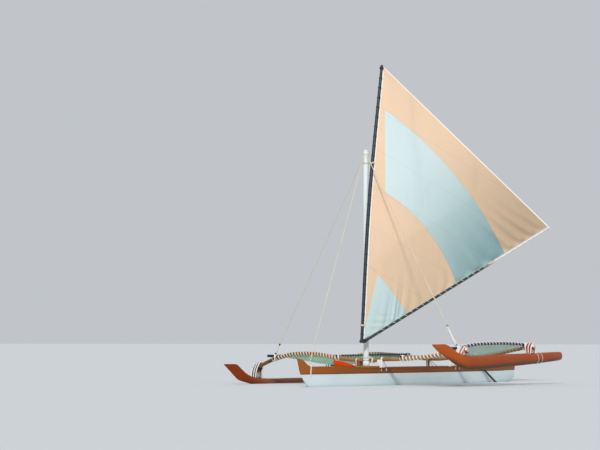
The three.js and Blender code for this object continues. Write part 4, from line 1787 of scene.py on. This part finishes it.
    def build(self) -> None:
        """Ties everything together."""
        self.make_saddle_lashings()
        self.make_step_ties()
        self.make_side_stays()
        self.make_float_lashings()
        self.make_float_turns()
        self.make_bow_strop()


# Rigging


@dataclass
class Rig:
    """Mast, stays, yard, boom and sail."""

    fitter: Fitter
    decks: Decks
    mast_radius: float = 0.066
    mast_foot: float = 0.6
    mast_head: float = 5.895
    yard_radius: float = 0.045
    boom_radius: float = 0.035
    rope: float = 0.008
    belly: float = 0.33
    cloth_head: float = 0.985
    # lengths along the boom and the yard that the folds are laid out on
    cloth_size: tuple[float, float] = (6.35, 7.1)

    tack: ClassVar[Vector] = Vector((0.35, 0.11, 1.06))
    yard_middle: ClassVar[Vector] = Vector((0.045, 0.13, 4.56))
    head: ClassVar[Vector] = Vector((-0.5, 0.15, 8.07))
    clew: ClassVar[Vector] = Vector((-4.725, 2.48, 4.04))
    # how far ahead of the clew its middle is, reach, spacing, slant, height and depth of each group of folds
    folds: ClassVar[tuple[Row, ...]] = (
        (0.8, 0.75, 0.4, 0.32, 1.2, 0.045),
        (2.35, 0.85, 0.62, 0.2, 1.0, 0.05),
        (3.6, 0.4, 0.4, -0.1, 0.45, 0.02),
        (5.3, 0.6, 0.4, -0.2, 0.75, 0.02),
        (5.36, 0.24, 0.16, -0.2, 0.55, 0.022),
        (5.55, 0.5, 0.36, 2.1, 0.5, 0.022),
    )

    @property
    def foot(self) -> Vector:
        """The sail's foot, from the tack to the clew."""
        return self.clew - self.tack

    @property
    def outward(self) -> Vector:
        """The level direction across the foot, to the side that the sail bellies to."""
        return Vector((self.foot.y, -self.foot.x, 0)).normalized()

    def yard_at(self, t: float) -> Vector:
        """A point on the yard's centreline.

        Args:
            t: How far up it is, from 0 at the tack to 1 at the head.

        Returns:
            The point.
        """
        z = self.tack.z + (self.head.z - self.tack.z) * t
        rows = [(p.z, p.x, p.y) for p in (self.tack, self.yard_middle, self.head)]
        x, y = smooth(rows, z)
        return Vector((x, y, z))

    def make_mast(self) -> None:
        """The white mast with a rounded head and three bands."""
        r, rounding = self.mast_radius, 0.045
        profile = [(self.mast_foot, r), (2.0, r), (4.0, r), (self.mast_head - rounding, r)]
        for i in range(1, 6):
            angle = math.pi / 2 * i / 6
            profile.append((self.mast_head - rounding + rounding * math.sin(angle), r * math.cos(angle)))
        self.fitter.fit(Bench.turned("mast_pole", profile, 48, 50), "mast_white", nodes=["mast"])
        bands = []
        for z, tall, out in ((0.625, 0.05, 0.012), (5.71, 0.03, 0.006), (5.85, 0.022, 0.004)):
            rows = [(z + tall * t, r + out * s) for t, s in ((0, 0), (0.15, 1), (0.85, 1), (1, 0))]
            bands.append(Bench.turned("band", rows, 48))
        self.fitter.fit(Bench.join("mast_bands", bands), "mast_white")

    def make_mast_lashing(self) -> None:
        """The rope that ties the mast's foot to the forward crossbeam."""
        ropes = []
        for shift in (0, 0.017, 0.034):
            z = 0.685 + shift
            side = [(0.076, 0, z), (0.052, 0.055, z), (-0.03, 0.078, z), (-0.165, 0.086 - shift, 0.672),
                    (-0.222, 0.07 - shift, 0.62), (-0.165, 0.05 - shift, 0.565), (-0.112, 0.0, 0.6)]
            port = [Vector(point) for point in side]
            turn = curved(port + mirrored(port[1:-1]), True)
            ropes.append(Bench.cord("tie", turn, self.rope, looped=True))
        self.fitter.ropes("mast_lashing", ropes)

    def make_stays(self) -> None:
        """Forestay and shrouds, the shrouds set up with tackles above the poles."""
        top, stay, ring = 5.8, 0.0105, self.mast_radius + 0.007
        low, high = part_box("bow_eye")
        eye = Vector(((low.x + high.x) / 2, 0, high.z))
        fore = Bench.cord("forestay_line", [Vector((self.mast_radius, 0, top - 0.02)), eye], stay, 2)
        self.fitter.fit(fore, "rope_cream", nodes=["forestay"])
        path = bound(UP * 5.775, AHEAD * ring, TO_PORT * ring, 3, UP * 0.045, 1, 32)
        loops = [Bench.cord("loop", path, self.rope)]
        for side, top_x, tackle in ((Side.PORT, 0.045, 0.6), (Side.STARBOARD, 0.0, 0.34)):
            y = self.decks.outer_y[side]
            foot = self.decks.over_beam(y, self.decks.outer_radius, Joint.FORWARD)
            head = Vector((top_x, side.value * self.mast_radius * 0.72, top - 0.03))
            up = (head - foot).normalized()
            join = foot + up * tackle
            line = Bench.cord(f"shroud_line_{side.word}", [join, head], stay, 2)
            self.fitter.fit(line, "rope_cream", nodes=[f"shroud_{side.word}"])
            self.make_tackle(side, foot + up * 0.075, join, up)
            path = bound(foot, TO_PORT * 0.046, UP * 0.05, 4, AHEAD * 0.03, 1)
            loops.append(Bench.cord("loop", path, self.rope))
        self.fitter.ropes("stay_loops", loops)

    def make_tackle(self, side: Side, low: Vector, high: Vector, up: Vector) -> None:
        """Two round blocks with the lines rove between them.

        Args:
            side: The side of the boat.
            low: The lower block's middle.
            high: The upper block's middle.
            up: The direction of the shroud.
        """
        across = (AHEAD - up * up.x).normalized()
        out = up.cross(across)
        spread, thick = (0.024, 0.0105) if side is Side.PORT else (0.012, self.rope)
        lines = []
        for k in range(4):
            shift = across * (spread * (k - 1.5)) + out * (0.006 if k % 2 else -0.006)
            lines.append(Bench.cord("part", [low + shift, high + shift * 0.7], thick))
        wrap = wound([low + up * 0.03, low + up * 0.14], spread * 1.5, 0.018, across)
        lines.append(Bench.cord("part", wrap, self.rope))
        self.fitter.ropes(f"tackle_{side.word}", lines, nodes=[f"lanyard_{side.word}"])
        blocks = []
        for place in (low, high):
            Bench.clear()
            bpy.ops.mesh.primitive_cylinder_add(vertices=24, radius=0.03, depth=0.03, location=place)
            block = bpy.context.object
            block.rotation_euler = out.to_track_quat("Z", "Y").to_euler()
            Bench.bevel(block, 0.008)
            blocks.append(Bench.settle(block))
        self.fitter.fit(Bench.join(f"deadeyes_{side.word}", blocks), "chock_wood")

    def make_parrels(self) -> None:
        """The rope parrels that hold the yard to the mast."""
        ring, loop = self.mast_radius + 0.0095, self.yard_radius + 0.006
        for name, z in (("lower", 1.5), ("upper", 5.56)):
            yard = self.yard_at((z - self.tack.z) / (self.head.z - self.tack.z))
            across = Vector((yard.x, yard.y, 0)).normalized()
            side = Vector((-across.y, across.x, 0))
            paths = [bound(UP * (z - 0.014), AHEAD * ring, TO_PORT * ring, 3, UP * 0.03, 1, 32),
                     bound(yard - UP * 0.02, across * loop, side * loop, 3, UP * 0.04, 1, 24)]
            ropes = [Bench.cord("ring", path, self.rope) for path in paths]
            for lift in (-0.01, 0.008):
                for lean in (1, -1):
                    start = across * (ring * 0.86) + side * (lean * ring * 0.5) + UP * (z + lift)
                    end = yard + side * (lean * (self.yard_radius - 0.004)) + UP * lift
                    ropes.append(Bench.cord("link", [start, end], 0.0075))
            self.fitter.ropes(f"parrel_rope_{name}", ropes, "rope_cream", "rig", [f"parrel_{name}"])

    def cloth_point(self, across: float, up: float) -> Vector:
        """A point of the filled sail.

        Args:
            across: 0 at the yard and 1 at the free edge.
            up: 0 at the boom and 1 at the head.

        Returns:
            The point.
        """
        t = up * self.cloth_head
        luff = self.yard_at(t)
        leech = self.clew.lerp(self.head, t)
        chord = (leech - luff).length
        reach = self.yard_radius + 0.004 + (chord - self.yard_radius - 0.004) * across
        point = luff + (leech - luff).normalized() * reach
        width = chord / self.foot.length
        swell = self.belly * width * math.sin(math.pi * across**0.8) * min(1, up * 3 + 0.12)
        point += self.outward * (swell + self.crease(across, up))
        point.z += (1 - up) * (self.boom_radius + 0.03)
        return point

    def crease(self, across: float, up: float) -> float:
        """How far the folds that spread from the foot and the corners push the cloth out.

        Args:
            across: 0 at the yard and 1 at the free edge.
            up: 0 at the boom and 1 at the head.

        Returns:
            The push, in metres.
        """
        ahead, above = (1 - across) * self.cloth_size[0], up * self.cloth_size[1]
        push = 0.0
        for middle, reach, pitch, slant, high, depth in self.folds:
            from_middle = ahead - slant * above - middle
            wave = math.sin(2 * math.pi * from_middle / pitch)
            near = (from_middle / reach) ** 2 + (above / high) ** 2
            push += depth * wave * math.exp(-near)
        return push * min(1, above / 0.1 + 0.1) * min(1, ahead * 5, across * 14)

    def make_sail(self) -> None:
        """The cloth, on its yard and boom. Its flat area is that of the triangle of its corners."""
        sail = Bench.cloth("sewn_sail", 200, 120, self.cloth_point)
        self.fitter.fit(sail, "sail_cloth", "rig", ["sail"])

    def make_spars(self) -> None:
        """The yard, which thins towards its ends, and the boom."""
        stations = []
        for t in steps(0, 1, 48):
            point = self.yard_at(t)
            thick = self.yard_radius * (0.72 + 0.28 * math.sin(math.pi * min(1, t * 0.9 + 0.1)) ** 0.6)
            stations.append((point.z, point.y, -point.x, thick, thick))
        yard = Bench.sweep("yard_spar", circle(28), stations)
        yard.rotation_euler.y = -math.pi / 2
        self.fitter.fit(Bench.settle(yard, 50), "spar_dark", "rig", ["yard"])
        length = self.foot.length + 0.06
        stations = []
        for d in steps(0.05, length, 30):
            thick = self.boom_radius * (1 - 0.3 * (d / length) ** 2)
            stations.append((d, 0.0, 0.0, thick, thick))
        boom = Bench.sweep("boom_spar", circle(28), stations)
        boom.rotation_euler = self.foot.to_track_quat("X", "Z").to_euler()
        boom.location = self.tack
        self.fitter.fit(Bench.settle(boom, 50), "boom_dark", "rig", ["boom"], "spar_dark")

    def make_lacing(self) -> None:
        """The ties that hold the cloth to the yard, and the line that laces it to the boom."""
        ring = self.yard_radius + 0.001
        ties = []
        for t in steps(0.03, 0.95, 26):
            ahead = (self.yard_at(t + 0.01) - self.yard_at(t - 0.01)).normalized()
            wide = (TO_PORT - ahead * ahead.y).normalized()
            path = bound(self.yard_at(t), wide * ring, ahead.cross(wide) * ring, 2, ahead * 0.014, 1, 18)
            ties.append(Bench.cord("roband", path, 0.0035))
        top = self.yard_at(self.cloth_head)
        path = bound(top, AHEAD * ring, TO_PORT * ring, 4, Vector((-0.004, 0, 0.05)), 1, 24)
        ties.append(Bench.cord("tie", path, 0.007))
        self.fitter.ropes("yard_robands", ties, "rope_dark", "rig")
        along, level = self.foot.normalized(), self.outward
        line = [self.tack + along * d for d in steps(0.5, self.foot.length - 0.06, 40)]
        lace = Bench.cord("boom_lacing", wound(line, self.boom_radius + 0.003, 0.19, level), 0.005)
        self.fitter.fit(lace, "rope_white", "rig", slot="rope_cream")

    def make_corner_lashings(self) -> None:
        """The ropes at the sail's two lower corners."""
        along, level = self.foot.normalized(), self.outward
        upward = along.cross(level)
        tack = [
            bound(self.tack + UP * 0.012, AHEAD * 0.05, TO_PORT * 0.05, 4, Vector((-0.003, 0, 0.052)), 1, 24),
            bound(self.tack + along * 0.085, level * 0.042, upward * 0.042, 3, along * 0.045, 1, 24),
        ]
        self.fitter.ropes("tack_lashing", [Bench.cord("tie", path, self.rope) for path in tack], "rope_dark",
                          "rig")
        end = self.tack + along * (self.foot.length - 0.03)
        clew = bound(end, level * 0.036, upward * 0.036, 4, along * 0.06, 1, 24)
        self.fitter.ropes("clew_lashing", [Bench.cord("tie", clew, 0.007)], body="rig")

    def build(self) -> None:
        """Builds the rig."""
        self.make_mast()
        self.make_mast_lashing()
        self.make_stays()
        self.make_spars()
        self.make_sail()
        self.make_lacing()
        self.make_corner_lashings()
        self.make_parrels()


@dataclass
class Steering:
    """The steering oar on its thole pin."""

    fitter: Fitter
    top: Vector = field(default_factory=lambda: Vector((-3.98, 0.3475, 0.912)))
    end: Vector = field(default_factory=lambda: Vector((-6.35, 0.3475, -0.45)))
    pin: Vector = field(default_factory=lambda: Vector((-4.75, 0.318, 0.48)))
    shaft: float = 0.02

    @property
    def along(self) -> Vector:
        """The direction down the oar."""
        return (self.end - self.top).normalized()

    def make_oar(self) -> None:
        """A round shaft that flattens into a long blade, with a grip at the top."""
        length = (self.end - self.top).length
        blade = length - 0.9
        rows = [(0.0, 0.013, 0.013), (0.008, 0.019, 0.019), (0.05, 0.0195, 0.0195), (0.12, 0.018, 0.018),
                (0.2, self.shaft, self.shaft), (1.0, self.shaft, self.shaft), (1.25, 0.024, 0.028),
                (blade - 0.1, 0.023, 0.028), (blade, 0.02, 0.032),
                (blade + 0.12, 0.014, 0.05), (blade + 0.3, 0.011, 0.082), (blade + 0.55, 0.0095, 0.105),
                (blade + 0.76, 0.008, 0.101), (blade + 0.85, 0.007, 0.08), (blade + 0.89, 0.005, 0.05),
                (blade + 0.9, 0.003, 0.03)]
        places = sorted({*steps(0, length, 60), *(row[0] for row in rows)})
        stations = [(d, 0.0, 0.0, *smooth(rows, d)) for d in places]
        oar = Bench.sweep("oar_shaft_and_blade", circle(20), stations)
        oar.rotation_euler.y = math.atan2(-self.along.z, self.along.x)
        oar.location = self.top
        self.fitter.fit(Bench.settle(oar, 45), "oar_wood", "oar", ["steering_oar"])

    def make_pin(self) -> None:
        """The thole pin and the rope grommet round the oar."""
        self.fitter.copy("oar_thole", "thole_pin", "oar_wood", 0.002)
        along = self.along
        centre = self.top + along * ((self.pin.x - self.top.x) / along.x)
        ring = self.shaft + 0.0055
        path = bound(centre - along * 0.022, TO_PORT * ring, TO_PORT.cross(along) * ring, 5, along * 0.044, 1)
        self.fitter.fit(Bench.cord("oar_grommet", path, 0.0045), "rope_cream", "oar")

    def build(self) -> None:
        """Builds the steering gear."""
        self.make_oar()
        self.make_pin()


# The stage


@dataclass
class Stage:
    """Camera, lights and the plain floor at the waterline.

    The camera looks at the mast from a distance along a bearing. Its focal length, and where the mast and
    the horizon are in the picture, are in pixels.
    """

    distance: float = 55.0
    height: float = 1.1325
    bearing: tuple[float, float] = (0.819, 0.574)
    focal: float = 2200.0
    picture: tuple[int, int] = (600, 450)
    sensor: float = 36.0
    mast_at: float = 366.0
    horizon_at: float = 340.0

    def make_camera(self) -> None:
        """A long lens off the port bow, a little above the water."""
        width, height = self.picture
        yaw = math.atan((self.mast_at - width / 2) / self.focal)
        pitch = math.atan((self.horizon_at - height / 2) / self.focal)
        ahead = -Vector((*self.bearing, 0)).normalized()
        aim = Matrix.Rotation(yaw, 3, "Z") @ ahead
        aim.z = math.tan(pitch)
        bpy.ops.object.camera_add(location=(*(-ahead * self.distance).xy, self.height))
        camera = bpy.context.object
        camera.data.sensor_width = self.sensor
        camera.data.lens = self.sensor * self.focal / width
        camera.data.clip_end = 1000
        camera.rotation_euler = aim.to_track_quat("-Z", "Y").to_euler()
        bpy.context.scene.camera = camera

    def make_floor(self) -> None:
        """A pale floor at the waterline."""
        Bench.clear()
        bpy.ops.mesh.primitive_plane_add(size=900, location=(0, 0, 0))
        floor = bpy.context.object
        floor.name = "floor"
        s = Shader("pale_floor")
        floor.data.materials.append(s.finish(base_color=(0.62, 0.64, 0.65), roughness=0.95))

    def make_lights(self) -> None:
        """A soft sun from the bow side and a pale sky all round."""
        bpy.ops.object.light_add(type="SUN")
        sun = bpy.context.object
        sun.data.energy = 2.4
        sun.data.angle = math.radians(8)
        sun.rotation_euler = Vector((-1.2, -0.75, -1.0)).to_track_quat("-Z", "Y").to_euler()
        world = bpy.data.worlds.new("pale_sky")
        bpy.context.scene.world = world
        world.use_nodes = True
        background = world.node_tree.nodes["Background"]
        background.inputs["Color"].default_value = (0.86, 0.9, 0.95, 1)
        background.inputs["Strength"].default_value = 0.62
        bpy.context.scene.view_settings.view_transform = "Standard"

    def build(self) -> None:
        """Sets the stage."""
        self.make_camera()
        self.make_floor()
        self.make_lights()


def main() -> None:
    """Builds the stage and every sub-assembly."""
    logging.basicConfig(level=logging.INFO, format="%(message)s")
    Stage().build()
    fitter = Fitter(Finishes())
    hull = Hull(fitter)
    outriggers = Outriggers(fitter)
    decks = Decks(fitter, outriggers)
    for assembly in (hull, outriggers, decks, Lashings(fitter, hull, outriggers), Rig(fitter, decks),
                     Steering(fitter)):
        assembly.build()
    log.info("%d pieces", fitter.count)


if __name__ == "__main__":
    main()
